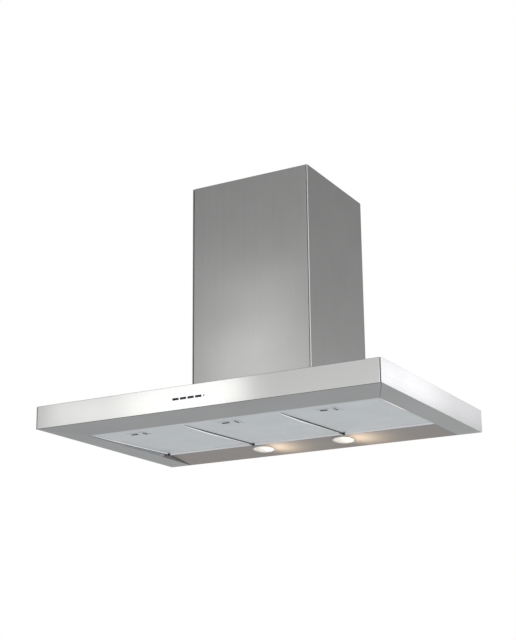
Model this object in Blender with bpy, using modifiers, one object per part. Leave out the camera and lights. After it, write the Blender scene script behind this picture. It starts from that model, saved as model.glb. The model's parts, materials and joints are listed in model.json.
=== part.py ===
"""Island range hood: a wide flat canopy that hangs from the ceiling on a telescopic chimney.

The origin is on the ceiling, on the chimney's axis. X runs along the canopy, the controls are on
the -Y side, and everything hangs below Z = 0. All sizes are in metres.
"""

from math import atan2, cos, hypot, pi, radians, sin

import bmesh
import bpy
from mathutils import Matrix, Vector

# Canopy
CANOPY_LENGTH = 0.900
CANOPY_DEPTH = 0.600
CANOPY_HEIGHT = 0.055
CANOPY_SETBACK = 0.100
FASCIA_THICKNESS = 0.003
FASCIA_END_GAP = 0.0028
SIDE_FLANGE_WIDTH = 0.062
FRONT_FLANGE_WIDTH = 0.128
LAMP_PANEL_DEPTH = 0.115
FILTER_RISE = 0.012
SIDE_LIP_HEIGHT = 0.024
FRONT_LIP_HEIGHT = 0.013

# Chimney and the frame inside it
CHIMNEY_WIDTH = 0.330
CHIMNEY_DEPTH = 0.310
CHIMNEY_HEIGHT = 0.585
CHIMNEY_RETURN = 0.0035
CHIMNEY_SEAM = 0.0012
TELESCOPE_GAP = 0.0015
CEILING_GAP = 0.002
VENT_SLOTS = 6
VENT_LENGTH = 0.120
VENT_WIDTH = 0.004
VENT_PITCH = 0.012
VENT_TOP = 0.045
UPRIGHT_LEG = 0.024
UPRIGHT_LENGTH = 0.460
CEILING_FLANGE = 0.020
CEILING_SCREW_RADIUS = 0.004
CEILING_SCREW_INSET = 0.045

# Sheets and clearances
SHEET = 0.0012
FRAME_SHEET = 0.002
CONTACT_GAP = 0.0003
RUNNING_GAP = 0.0005

# Blower
CASING_CLEARANCE = 0.002
INLET_MARGIN = 0.010
CASING_HEIGHT = 0.245
BLADE_COUNT = 20
BLADE_CHORD = 0.013
BLADE_SHEET = 0.0012
IMPELLER_WIDTH = 0.090
VOLUTE_GROWTH = 0.030
SCROLL_START = radians(40)
SCROLL_TURN = radians(220)
SCROLL_GAP = 0.006
SCROLL_CLEARANCE = 0.006
INLET_OVERLAP = 0.008
MOTOR_RADIUS = 0.040
MOTOR_CLEARANCE = 0.020
HUB_RADIUS = 0.012
HUB_LENGTH = 0.016
SHAFT_RADIUS = 0.004
ARM_WIDTH = 0.014
SPIGOT_RADIUS = 0.075
SPIGOT_HEIGHT = 0.060
SPIGOT_RIM = 0.008
DUCT_HOLE_MARGIN = 0.008
FLAP_PIN_RADIUS = 0.002
FLAP_SHEET = 0.0008
FLAP_HEIGHT = 0.021

# Filters
FILTER_COUNT = 3
FILTER_THICKNESS = 0.009
FILTER_SPACING = 0.001
FILTER_RAIL = 0.012
FILTER_LUG_WIDTH = 0.022
FILTER_LUG_REACH = 0.006
FILTER_LUG_INSET = 0.060
FILTER_LUG_THICKNESS = 0.0018
FILTER_LUG_CLEARANCE = 0.0009
MESH_THICKNESS = 0.0066
LATCH_OFFSET = -0.022
LATCH_WIDTH = 0.044
LATCH_DEPTH = 0.026
LATCH_THICKNESS = 0.004
LATCH_TRAVEL = 0.005
LATCH_SETBACK = 0.054
LATCH_WALL = 0.005
TONGUE_WIDTH = 0.016
FINGER_SLOT_WIDTH = 0.018
FINGER_SLOT_DEPTH = 0.008
FINGER_SLOT_OFFSET = 0.009

# Lamps
LAMP_SPACING = 0.230
LAMP_OFFSET = -0.008
LAMP_RADIUS = 0.027
LAMP_BEZEL_RADIUS = 0.032
LAMP_BEZEL_THICKNESS = 0.0016
LAMP_HOUSING_HEIGHT = 0.018
LAMP_WALL = 0.0015
LAMP_REAR_DISTANCE = 0.066
LENS_THICKNESS = 0.003
LENS_DROP = 0.001

# Controls
BUTTON_COUNT = 4
BUTTON_PITCH = 0.020
BUTTON_WIDTH = 0.0155
BUTTON_HEIGHT = 0.0042
BUTTON_PROTRUSION = 0.0008
BUTTON_LENGTH = 0.011
BUTTON_TRAVEL = 0.0015
FIRST_BUTTON_X = -0.056
CONTROLS_HEIGHT = 0.0255
LED_SPACING = 0.0145
LED_RADIUS = 0.0015
LED_LENGTH = 0.008
HOUSING_MARGIN = 0.006
HOUSING_HEIGHT = 0.016
BOARD_THICKNESS = 0.0016
BOARD_HEIGHT = 0.022
ELECTRONICS_SIZE = (0.150, 0.060, 0.020)
ELECTRONICS_X = 0.230
GLAND_RADIUS = 0.010
GLAND_BORE_RADIUS = 0.0045
GLAND_HEIGHT = 0.016

# Places that follow from the sizes above
HALF_LENGTH = CANOPY_LENGTH / 2
FRONT_Y = -CANOPY_SETBACK - CANOPY_DEPTH / 2
REAR_Y = FRONT_Y + CANOPY_DEPTH
CHIMNEY_TOP_Z = -CEILING_GAP
CANOPY_TOP_Z = CHIMNEY_TOP_Z - CHIMNEY_HEIGHT
BOTTOM_Z = CANOPY_TOP_Z - CANOPY_HEIGHT
INNER_LENGTH = CANOPY_LENGTH - 2 * (SHEET + CONTACT_GAP)
INNER_FRONT_Y = FRONT_Y + FASCIA_THICKNESS + CONTACT_GAP
INNER_REAR_Y = REAR_Y - SHEET - CONTACT_GAP
FILTER_FRONT_Y = FRONT_Y + FRONT_FLANGE_WIDTH
FILTER_REAR_Y = REAR_Y - LAMP_PANEL_DEPTH
FILTER_AREA_WIDTH = CANOPY_LENGTH - 2 * SIDE_FLANGE_WIDTH
FILTER_TILT = atan2(FILTER_RISE, FILTER_REAR_Y - FILTER_FRONT_Y)
CONTROLS_Z = BOTTOM_Z + CONTROLS_HEIGHT
DUCT_HOLE_RADIUS = SPIGOT_RADIUS + DUCT_HOLE_MARGIN
TRAY_INSET = 2 * SHEET + TELESCOPE_GAP + CONTACT_GAP
TRAY_HALF_X = CHIMNEY_WIDTH / 2 - TRAY_INSET
TRAY_HALF_Y = CHIMNEY_DEPTH / 2 - TRAY_INSET
CASING_INSET = 2 * FRAME_SHEET + 2 * CONTACT_GAP + UPRIGHT_LEG + CASING_CLEARANCE
CASING_WIDTH = 2 * (TRAY_HALF_X - CASING_INSET)
CASING_DEPTH = 2 * (TRAY_HALF_Y - CASING_INSET)
CASING_BOTTOM_Z = CANOPY_TOP_Z + CONTACT_GAP
CASING_TOP_Z = CASING_BOTTOM_Z + CASING_HEIGHT
SCROLL_REAR_GROWTH = VOLUTE_GROWTH * SCROLL_START / SCROLL_TURN
SCROLL_LOW_GROWTH = VOLUTE_GROWTH * (SCROLL_START + pi / 2) / SCROLL_TURN
SCROLL_BASE = (
    CASING_DEPTH / 2 - SHEET - SCROLL_CLEARANCE - (VOLUTE_GROWTH + SCROLL_REAR_GROWTH) / 2
)
IMPELLER_RADIUS = SCROLL_BASE - SHEET - SCROLL_GAP
INLET_RADIUS = IMPELLER_RADIUS - INLET_OVERLAP
VOLUTE_WIDTH = IMPELLER_WIDTH + 2 * (SHEET + SCROLL_GAP)
MOTOR_START = VOLUTE_WIDTH / 2 + FRAME_SHEET + 2 * CONTACT_GAP
MOTOR_LENGTH = CASING_WIDTH / 2 - SHEET - MOTOR_CLEARANCE - MOTOR_START
FAN_CENTRE = Vector(
    (
        0,
        (VOLUTE_GROWTH - SCROLL_REAR_GROWTH) / 2,
        CASING_BOTTOM_Z + SCROLL_BASE + SCROLL_LOW_GROWTH + 2 * SCROLL_CLEARANCE,
    )
)
LED_X = FIRST_BUTTON_X + (BUTTON_COUNT - 1) * BUTTON_PITCH + LED_SPACING


def empty_scene():
    for item in list(bpy.data.objects):
        bpy.data.objects.remove(item, do_unlink=True)


def new_collection(name):
    group = bpy.data.collections.new(name)
    bpy.context.scene.collection.children.link(group)
    return group


def new_material(name, colour, roughness, metallic):
    material = bpy.data.materials.new(name)
    material.use_nodes = True
    shader = material.node_tree.nodes["Principled BSDF"]
    shader.inputs["Base Color"].default_value = (*colour, 1.0)
    shader.inputs["Roughness"].default_value = roughness
    shader.inputs["Metallic"].default_value = metallic
    material.diffuse_color = (*colour, 1.0)
    return material


empty_scene()
PARTS = new_collection("island_range_hood")
CUTTERS = new_collection("cutters")

STEEL = new_material("brushed_steel", (0.55, 0.55, 0.54), 0.32, 1.0)
POLISHED = new_material("polished_steel", (0.78, 0.78, 0.78), 0.18, 1.0)
FLANGE_STEEL = new_material("flange_steel", (0.42, 0.43, 0.44), 0.40, 1.0)
GALVANISED = new_material("galvanised_steel", (0.50, 0.52, 0.54), 0.50, 1.0)
ALUMINIUM = new_material("aluminium", (0.62, 0.66, 0.68), 0.42, 1.0)
MESH = new_material("filter_mesh", (0.52, 0.57, 0.59), 0.55, 1.0)
BLACK = new_material("black_plastic", (0.02, 0.02, 0.02), 0.40, 0.0)
GREY = new_material("grey_plastic", (0.30, 0.31, 0.32), 0.50, 0.0)
WHITE = new_material("white_plastic", (0.80, 0.80, 0.78), 0.45, 0.0)
GREEN = new_material("circuit_board", (0.05, 0.22, 0.10), 0.50, 0.0)
MOTOR_PAINT = new_material("motor_paint", (0.06, 0.06, 0.07), 0.45, 0.0)
FROSTED = new_material("frosted_glass", (1.0, 0.93, 0.80), 0.30, 0.0)
RED = new_material("indicator_red", (0.60, 0.05, 0.03), 0.30, 0.0)


def place(name, mesh, material, location, rotation=(0, 0, 0), group=None):
    item = bpy.data.objects.new(name, mesh)
    (group or PARTS).objects.link(item)
    item.location = location
    item.rotation_euler = rotation
    if material:
        mesh.materials.append(material)
    return item


def mesh_from(name, shape):
    mesh = bpy.data.meshes.new(name)
    shape.to_mesh(mesh)
    shape.free()
    return mesh


def box(name, size, centre, material=None, rotation=(0, 0, 0), offset=(0, 0, 0), group=None):
    """A box of the given size whose middle is offset from the object's origin at centre."""
    shape = bmesh.new()
    bmesh.ops.create_cube(shape, size=1.0)
    bmesh.ops.scale(shape, vec=size, verts=shape.verts)
    bmesh.ops.translate(shape, vec=offset, verts=shape.verts)
    return place(name, mesh_from(name, shape), material, centre, rotation, group)


def box_between(name, low, high, material=None, group=None):
    size = [high[i] - low[i] for i in range(3)]
    centre = [(high[i] + low[i]) / 2 for i in range(3)]
    return box(name, size, centre, material, group=group)


def cylinder(
    name,
    radius,
    length,
    centre,
    material=None,
    rotation=(0, 0, 0),
    sides=32,
    offset=(0, 0, 0),
    group=None,
):
    """A cylinder along the object's own Z axis."""
    shape = bmesh.new()
    bmesh.ops.create_cone(
        shape, cap_ends=True, segments=sides, radius1=radius, radius2=radius, depth=length
    )
    bmesh.ops.translate(shape, vec=offset, verts=shape.verts)
    item = place(name, mesh_from(name, shape), material, centre, rotation, group)
    smooth(item)
    return item


def smooth(item):
    item.data.shade_smooth()
    item.data.set_sharp_from_angle(angle=radians(35))


def folded_sheet(name, points, length, thickness, location, material, rotation=(0, 0, 0)):
    """A sheet folded along a line of points in the object's XY plane and drawn out along its Z axis.

    The thickness goes to the left of the line, seen from +Z.
    """
    shape = bmesh.new()
    low = [shape.verts.new((x, y, 0)) for x, y in points]
    folds = [shape.edges.new(pair) for pair in zip(low, low[1:])]
    drawn = bmesh.ops.extrude_edge_only(shape, edges=folds)["geom"]
    top = [part for part in drawn if isinstance(part, bmesh.types.BMVert)]
    bmesh.ops.translate(shape, vec=(0, 0, length), verts=top)
    side = Vector((points[1][1] - points[0][1], points[0][0] - points[1][0], 0))
    bmesh.ops.recalc_face_normals(shape, faces=shape.faces)
    if folds[0].link_faces[0].normal.dot(side) < 0:
        bmesh.ops.reverse_faces(shape, faces=shape.faces)
    item = place(name, mesh_from(name, shape), material, location, rotation)
    solid = item.modifiers.new("thickness", "SOLIDIFY")
    solid.thickness = thickness
    solid.offset = -1
    solid.use_even_offset = True
    return item


def as_cutter(item):
    item.hide_render = True
    item.display_type = "WIRE"
    return item


def boolean(target, other, operation):
    """Applies a cutter or an added shape, which stays hidden in its own collection."""
    as_cutter(other)
    step = target.modifiers.new(other.name, "BOOLEAN")
    step.operation = operation
    step.object = other
    step.solver = "EXACT"
    return target


def cut(target, other):
    return boolean(target, other, "DIFFERENCE")


def add(target, other):
    return boolean(target, other, "UNION")


def ring(name, outer, inner, length, centre, material, rotation=(0, 0, 0), sides=32, offset=(0, 0, 0)):
    item = cylinder(name, outer, length, centre, material, rotation, sides, offset)
    bore = cylinder(
        name + "_bore", inner, length * 2, centre, None, rotation, sides, offset, CUTTERS
    )
    return cut(item, bore)


def round_edges(item, width, segments=2):
    bevel = item.modifiers.new("rounded", "BEVEL")
    bevel.width = width
    bevel.segments = segments
    bevel.limit_method = "ANGLE"
    bevel.angle_limit = radians(50)
    return item


# The turn that puts an object's XY plane in the world's YZ plane, with its Z axis along +X
ACROSS = Matrix(((0, 0, 1), (1, 0, 0), (0, 1, 0))).to_euler()
# The turn that puts a cylinder's axis along Y
ALONG_Y = (pi / 2, 0, 0)


def build_ceiling_plate():
    """An open-bottomed tray against the ceiling, with the duct hole and four screw holes."""
    x, y = TRAY_HALF_X, TRAY_HALF_Y
    tray = box_between("ceiling_plate", (-x, -y, -CEILING_FLANGE), (x, y, 0), GALVANISED)
    inside = box_between(
        "ceiling_plate_inside",
        (-x + FRAME_SHEET, -y + FRAME_SHEET, -2 * CEILING_FLANGE),
        (x - FRAME_SHEET, y - FRAME_SHEET, -FRAME_SHEET),
        group=CUTTERS,
    )
    cut(tray, inside)
    duct = cylinder("ceiling_duct_hole", DUCT_HOLE_RADIUS, 0.02, (0, 0, 0), sides=48, group=CUTTERS)
    cut(tray, duct)
    for side in (-1, 1):
        for end in (-1, 1):
            hole = cylinder(
                f"ceiling_screw_hole_{side}_{end}",
                CEILING_SCREW_RADIUS,
                0.02,
                (side * (x - CEILING_SCREW_INSET), end * (y - CEILING_SCREW_INSET), 0),
                sides=16,
                group=CUTTERS,
            )
            cut(tray, hole)


def build_uprights():
    """Four angle uprights hang from the ceiling plate, and four stand on the canopy inside them."""
    for row, sign_y in (("front", -1), ("rear", 1)):
        for column, sign_x in (("left", -1), ("right", 1)):
            for level, inset, bottom in (
                ("upper", FRAME_SHEET + CONTACT_GAP, -FRAME_SHEET - CONTACT_GAP - UPRIGHT_LENGTH),
                ("lower", 2 * (FRAME_SHEET + CONTACT_GAP), CANOPY_TOP_Z + CONTACT_GAP),
            ):
                corner = (sign_x * (TRAY_HALF_X - inset), sign_y * (TRAY_HALF_Y - inset))
                leg = UPRIGHT_LEG
                arms = [
                    (corner[0] - sign_x * leg, corner[1]),
                    corner,
                    (corner[0], corner[1] - sign_y * leg),
                ]
                if sign_x * sign_y > 0:
                    arms.reverse()
                folded_sheet(
                    f"{level}_upright_{row}_{column}",
                    arms,
                    UPRIGHT_LENGTH,
                    FRAME_SHEET,
                    (0, 0, bottom),
                    GALVANISED,
                )


def build_chimney():
    """A lower cover of two pieces, and the upper cover inside it with vents near the ceiling."""
    half_x = CHIMNEY_WIDTH / 2
    half_y = CHIMNEY_DEPTH / 2
    bottom = CANOPY_TOP_Z + CONTACT_GAP
    height = CHIMNEY_TOP_Z - bottom
    lip_x = half_x - CHIMNEY_RETURN
    folded_sheet(
        "chimney_rear_shell",
        [
            (-lip_x, -half_y),
            (-half_x, -half_y),
            (-half_x, half_y),
            (half_x, half_y),
            (half_x, -half_y),
            (lip_x, -half_y),
        ][::-1],
        height,
        SHEET,
        (0, 0, bottom),
        STEEL,
    )
    edge = lip_x - CHIMNEY_SEAM
    box_between(
        "chimney_front_panel",
        (-edge, -half_y, bottom),
        (edge, -half_y + SHEET, bottom + height),
        STEEL,
    )
    upper_x = half_x - SHEET - TELESCOPE_GAP
    upper_y = half_y - SHEET - TELESCOPE_GAP
    upper_bottom = bottom + 2 * CONTACT_GAP + FRAME_SHEET
    upper_size = (2 * upper_x, 2 * upper_y, CHIMNEY_TOP_Z - upper_bottom)
    centre = (0, 0, (CHIMNEY_TOP_Z + upper_bottom) / 2)
    upper = box("upper_chimney", upper_size, centre, STEEL)
    hollow = (upper_size[0] - 2 * SHEET, upper_size[1] - 2 * SHEET, upper_size[2] + 0.02)
    cut(upper, box("upper_chimney_inside", hollow, centre, group=CUTTERS))
    for number in range(VENT_SLOTS):
        z = CHIMNEY_TOP_Z - VENT_TOP - number * VENT_PITCH
        vent_size = (CHIMNEY_WIDTH, VENT_LENGTH, VENT_WIDTH)
        cut(upper, box(f"vent_{number}", vent_size, (0, 0, z), group=CUTTERS))


def build_canopy_shell():
    """The two side skirts, the rear skirt, and the top sheet with the opening to the blower."""
    half = HALF_LENGTH
    for name, low, high in (
        ("left_skirt", (-half, FRONT_Y, BOTTOM_Z), (-half + SHEET, REAR_Y, CANOPY_TOP_Z)),
        ("right_skirt", (half - SHEET, FRONT_Y, BOTTOM_Z), (half, REAR_Y, CANOPY_TOP_Z)),
        (
            "rear_skirt",
            (-INNER_LENGTH / 2, REAR_Y - SHEET, BOTTOM_Z),
            (INNER_LENGTH / 2, REAR_Y, CANOPY_TOP_Z),
        ),
    ):
        box_between(name, low, high, POLISHED)
    top_low = (-INNER_LENGTH / 2, INNER_FRONT_Y, CANOPY_TOP_Z - SHEET)
    top_high = (INNER_LENGTH / 2, INNER_REAR_Y, CANOPY_TOP_Z)
    top = box_between("canopy_top", top_low, top_high, STEEL)
    inlet = box(
        "canopy_inlet",
        (CASING_WIDTH - 2 * INLET_MARGIN, CASING_DEPTH - 2 * INLET_MARGIN, 2 * INLET_MARGIN),
        (0, 0, CANOPY_TOP_Z),
        group=CUTTERS,
    )
    cut(top, inlet)


def mitre_line(side):
    """The joint between the front flange and a side flange, from the canopy's corner inwards."""
    outer = Vector((side * HALF_LENGTH, FRONT_Y, BOTTOM_Z))
    inner = Vector((side * FILTER_AREA_WIDTH / 2, FILTER_FRONT_Y, BOTTOM_Z))
    return outer, inner


def mitre_cutter(name, outer, inner, hand):
    """A block on one hand of the upright plane through the mitre line: 1 is its left, -1 its right."""
    along = (inner - outer).normalized()
    away = Vector((-along.y, along.x, 0)) * hand
    span = 0.5
    centre = (outer + inner) / 2 + away * (span / 2 - CONTACT_GAP)
    turn = atan2(along.y, along.x)
    return box(name, (2 * span, span, 0.2), centre, rotation=(0, 0, turn), group=CUTTERS)


def build_flanges():
    """Flat bottom flanges, each with a lip that stands up along the filters."""
    flat = FRONT_FLANGE_WIDTH - (INNER_FRONT_Y - FRONT_Y)
    front = folded_sheet(
        "front_flange",
        [(0, 0), (flat, 0), (flat, FRONT_LIP_HEIGHT)],
        INNER_LENGTH,
        SHEET,
        (-INNER_LENGTH / 2, INNER_FRONT_Y, BOTTOM_Z),
        FLANGE_STEEL,
        ACROSS,
    )
    side_flat = SIDE_FLANGE_WIDTH - SHEET - CONTACT_GAP
    run = INNER_REAR_Y - INNER_FRONT_Y
    for name, side in (("left", -1), ("right", 1)):
        outer, inner = mitre_line(side)
        cut(front, mitre_cutter(f"front_flange_mitre_{name}", outer, inner, -side))
        line = [(0, 0), (-side * side_flat, 0), (-side * side_flat, SIDE_LIP_HEIGHT)]
        if side > 0:
            line.reverse()
        flange = folded_sheet(
            f"{name}_flange",
            line,
            run,
            SHEET,
            (side * INNER_LENGTH / 2, INNER_REAR_Y, BOTTOM_Z),
            FLANGE_STEEL,
            ALONG_Y,
        )
        cut(flange, mitre_cutter(f"{name}_flange_mitre", outer, inner, side))


def lamp_panel_frame():
    """The lamp panel's slope, and a point on its lower face under each lamp."""
    low = Vector((0, INNER_REAR_Y, BOTTOM_Z))
    high = Vector((0, FILTER_REAR_Y, BOTTOM_Z + FILTER_RISE))
    run = low - high
    slope = atan2(run.z, run.y)
    distance = run.length - LAMP_REAR_DISTANCE
    middle = high + run.normalized() * distance
    return low, high, slope, middle


def build_lamp_panel():
    """The sloping rear panel with a ledge for the filters, and the two round lamps in it."""
    low, high, slope, middle = lamp_panel_frame()
    width = FILTER_AREA_WIDTH - 2 * (SHEET + CONTACT_GAP)
    ledge = FILTER_THICKNESS - FILTER_LUG_THICKNESS - FILTER_LUG_CLEARANCE
    panel = folded_sheet(
        "lamp_panel",
        [(low.y, low.z), (high.y, high.z), (high.y, high.z + ledge)][::-1],
        width,
        SHEET,
        (-width / 2, 0, 0),
        FLANGE_STEEL,
        ACROSS,
    )
    turn = (slope, 0, 0)
    for name, side in (("left", -1), ("right", 1)):
        centre = middle + Vector((LAMP_OFFSET + side * LAMP_SPACING / 2, 0, 0))
        hole = cylinder(
            f"lamp_hole_{name}", LAMP_RADIUS + 2 * CONTACT_GAP, 0.02, centre, rotation=turn, group=CUTTERS
        )
        cut(panel, hole)
        bezel_middle = -LAMP_BEZEL_THICKNESS / 2 - CONTACT_GAP
        ring(
            f"lamp_bezel_{name}",
            LAMP_BEZEL_RADIUS,
            LAMP_RADIUS - LAMP_WALL,
            LAMP_BEZEL_THICKNESS,
            centre,
            POLISHED,
            turn,
            offset=(0, 0, bezel_middle),
        )
        housing = cylinder(
            f"lamp_housing_{name}",
            LAMP_RADIUS,
            LAMP_HOUSING_HEIGHT,
            centre,
            WHITE,
            turn,
            offset=(0, 0, LAMP_HOUSING_HEIGHT / 2),
        )
        well = cylinder(
            f"lamp_well_{name}",
            LAMP_RADIUS - LAMP_WALL,
            LAMP_HOUSING_HEIGHT,
            centre,
            None,
            turn,
            offset=(0, 0, LAMP_HOUSING_HEIGHT / 2 - LAMP_WALL),
            group=CUTTERS,
        )
        cut(housing, well)
        cylinder(
            f"lamp_lens_{name}",
            LAMP_RADIUS - LAMP_WALL - CONTACT_GAP,
            LENS_THICKNESS,
            centre,
            FROSTED,
            turn,
            offset=(0, 0, LENS_THICKNESS / 2 - LENS_DROP),
        )


def build_filters():
    """Filters side by side. Each hangs on the lamp panel's lip and turns about its rear lower edge."""
    pitch = (FILTER_AREA_WIDTH - 2 * (SHEET + RUNNING_GAP)) / FILTER_COUNT
    width = pitch - FILTER_SPACING
    hinge_y = FILTER_REAR_Y - CONTACT_GAP
    hinge_z = BOTTOM_Z + FILTER_RISE
    depth = hypot(hinge_y - FILTER_FRONT_Y, FILTER_RISE) - SHEET - 2 * RUNNING_GAP
    turn = (FILTER_TILT, 0, 0)
    latch_y = -depth + LATCH_SETBACK
    for number in range(FILTER_COUNT):
        tag = number + 1
        origin = ((number - (FILTER_COUNT - 1) / 2) * pitch, hinge_y, hinge_z)
        frame = box(
            f"filter_frame_{tag}",
            (width, depth, FILTER_THICKNESS),
            origin,
            ALUMINIUM,
            turn,
            (0, -depth / 2, FILTER_THICKNESS / 2),
        )
        window_size = (width - 2 * FILTER_RAIL, depth - 2 * FILTER_RAIL, 0.03)
        cut(frame, box(f"filter_window_{tag}", window_size, origin, None, turn, (0, -depth / 2, 0), CUTTERS))
        block_size = (
            LATCH_WIDTH + 2 * LATCH_WALL,
            LATCH_SETBACK + LATCH_DEPTH / 2 + LATCH_TRAVEL + LATCH_WALL,
            FILTER_THICKNESS,
        )
        block_middle = (LATCH_OFFSET, -depth + block_size[1] / 2, FILTER_THICKNESS / 2)
        add(frame, box(f"latch_block_{tag}", block_size, origin, None, turn, block_middle, CUTTERS))
        pocket = (LATCH_WIDTH + 2 * RUNNING_GAP, LATCH_DEPTH + LATCH_TRAVEL + 2 * RUNNING_GAP)
        cut(
            frame,
            box(
                f"latch_pocket_{tag}",
                (pocket[0], pocket[1], 2 * (LATCH_THICKNESS + RUNNING_GAP)),
                origin,
                None,
                turn,
                (LATCH_OFFSET, latch_y + LATCH_TRAVEL / 2, 0),
                CUTTERS,
            ),
        )
        tongue_height = LATCH_THICKNESS * 0.5
        tongue_low = LATCH_THICKNESS - tongue_height
        tongue_length = LATCH_SETBACK - LATCH_DEPTH / 2
        cut(
            frame,
            box(
                f"tongue_way_{tag}",
                (TONGUE_WIDTH + 2 * RUNNING_GAP, tongue_length * 2, tongue_height + 2 * RUNNING_GAP),
                origin,
                None,
                turn,
                (LATCH_OFFSET, -depth, tongue_low + tongue_height / 2),
                CUTTERS,
            ),
        )
        for side in (-1, 1):
            lug_size = (FILTER_LUG_WIDTH, FILTER_LUG_REACH + FILTER_RAIL / 2, FILTER_LUG_THICKNESS)
            lug_middle = (
                side * (width / 2 - FILTER_LUG_INSET),
                FILTER_LUG_REACH - lug_size[1] / 2,
                FILTER_THICKNESS - lug_size[2] / 2,
            )
            add(frame, box(f"filter_lug_{tag}_{side}", lug_size, origin, None, turn, lug_middle, CUTTERS))
        mesh_size = (
            window_size[0] - 2 * CONTACT_GAP,
            window_size[1] - 2 * CONTACT_GAP,
            MESH_THICKNESS,
        )
        mesh = box(
            f"filter_mesh_{tag}",
            mesh_size,
            origin,
            MESH,
            turn,
            (0, -depth / 2, FILTER_THICKNESS / 2),
        )
        clear_size = (block_size[0] + 2 * CONTACT_GAP, block_size[1] * 2 + 2 * CONTACT_GAP, 0.03)
        notch_middle = (LATCH_OFFSET, -depth, 0)
        cut(mesh, box(f"mesh_notch_{tag}", clear_size, origin, None, turn, notch_middle, CUTTERS))
        latch = box(
            f"filter_latch_{tag}",
            (LATCH_WIDTH, LATCH_DEPTH, LATCH_THICKNESS),
            origin,
            ALUMINIUM,
            turn,
            (LATCH_OFFSET, latch_y, LATCH_THICKNESS / 2),
        )
        tongue_size = (TONGUE_WIDTH, tongue_length + LATCH_WALL, tongue_height)
        tongue_middle = (LATCH_OFFSET, -depth + tongue_size[1] / 2, tongue_low + tongue_height / 2)
        add(latch, box(f"latch_tongue_{tag}", tongue_size, origin, None, turn, tongue_middle, CUTTERS))
        slot = box(
            f"finger_slot_{tag}",
            (FINGER_SLOT_WIDTH, FINGER_SLOT_DEPTH, 4 * LATCH_THICKNESS),
            origin,
            None,
            turn,
            (LATCH_OFFSET - FINGER_SLOT_OFFSET, latch_y, 0),
            CUTTERS,
        )
        cut(latch, slot)


def build_controls():
    """The fascia with its buttons and indicator, and the parts fixed behind it."""
    half = HALF_LENGTH - SHEET - FASCIA_END_GAP
    fascia = box_between(
        "front_fascia",
        (-half, FRONT_Y, BOTTOM_Z),
        (half, FRONT_Y + FASCIA_THICKNESS, CANOPY_TOP_Z),
        POLISHED,
    )
    wall = box_between(
        "front_inner_wall",
        (-INNER_LENGTH / 2, INNER_FRONT_Y, BOTTOM_Z + SHEET + CONTACT_GAP),
        (INNER_LENGTH / 2, INNER_FRONT_Y + SHEET, CANOPY_TOP_Z - SHEET - CONTACT_GAP),
        GALVANISED,
    )
    left = FIRST_BUTTON_X - BUTTON_WIDTH / 2 - HOUSING_MARGIN
    right = LED_X + LED_RADIUS + HOUSING_MARGIN
    housing_depth = BUTTON_LENGTH - BUTTON_PROTRUSION - FASCIA_THICKNESS + BUTTON_TRAVEL
    housing_low = (left, INNER_FRONT_Y, CONTROLS_Z - HOUSING_HEIGHT / 2)
    housing_high = (right, INNER_FRONT_Y + housing_depth, CONTROLS_Z + HOUSING_HEIGHT / 2)
    housing = box_between("button_housing", housing_low, housing_high, BLACK)
    window = box_between(
        "housing_window",
        (left - CONTACT_GAP, INNER_FRONT_Y - 0.01, housing_low[2] - CONTACT_GAP),
        (right + CONTACT_GAP, INNER_FRONT_Y + 0.01, housing_high[2] + CONTACT_GAP),
        group=CUTTERS,
    )
    cut(wall, window)
    for number in range(BUTTON_COUNT):
        x = FIRST_BUTTON_X + number * BUTTON_PITCH
        origin = (x, FRONT_Y - BUTTON_PROTRUSION, CONTROLS_Z)
        button = box(
            f"push_button_{number + 1}",
            (BUTTON_WIDTH, BUTTON_LENGTH, BUTTON_HEIGHT),
            origin,
            BLACK,
            offset=(0, BUTTON_LENGTH / 2, 0),
        )
        round_edges(button, 0.0008)
        way_size = (BUTTON_WIDTH + 2 * RUNNING_GAP, 0.06, BUTTON_HEIGHT + 2 * RUNNING_GAP)
        way = box(f"button_way_{number + 1}", way_size, origin, group=CUTTERS)
        cut(fascia, way)
        cut(housing, way)
    led_middle = (LED_X, FRONT_Y + LED_LENGTH / 2 - LED_RADIUS / 4, CONTROLS_Z)
    cylinder("status_led", LED_RADIUS, LED_LENGTH, led_middle, RED, ALONG_Y, sides=16)
    led_way = cylinder(
        "led_way", LED_RADIUS + CONTACT_GAP, 0.06, led_middle, rotation=ALONG_Y, sides=16, group=CUTTERS
    )
    cut(fascia, led_way)
    cut(housing, led_way)
    board_y = INNER_FRONT_Y + housing_depth + CONTACT_GAP
    box_between(
        "control_board",
        (left, board_y, CONTROLS_Z - BOARD_HEIGHT / 2),
        (right, board_y + BOARD_THICKNESS, CONTROLS_Z + BOARD_HEIGHT / 2),
        GREEN,
    )
    box(
        "electronics_box",
        ELECTRONICS_SIZE,
        (
            ELECTRONICS_X,
            INNER_FRONT_Y + SHEET + ELECTRONICS_SIZE[1] / 2 + CONTACT_GAP,
            CANOPY_TOP_Z - SHEET - CONTACT_GAP - ELECTRONICS_SIZE[2] / 2,
        ),
        GREY,
    )


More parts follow.
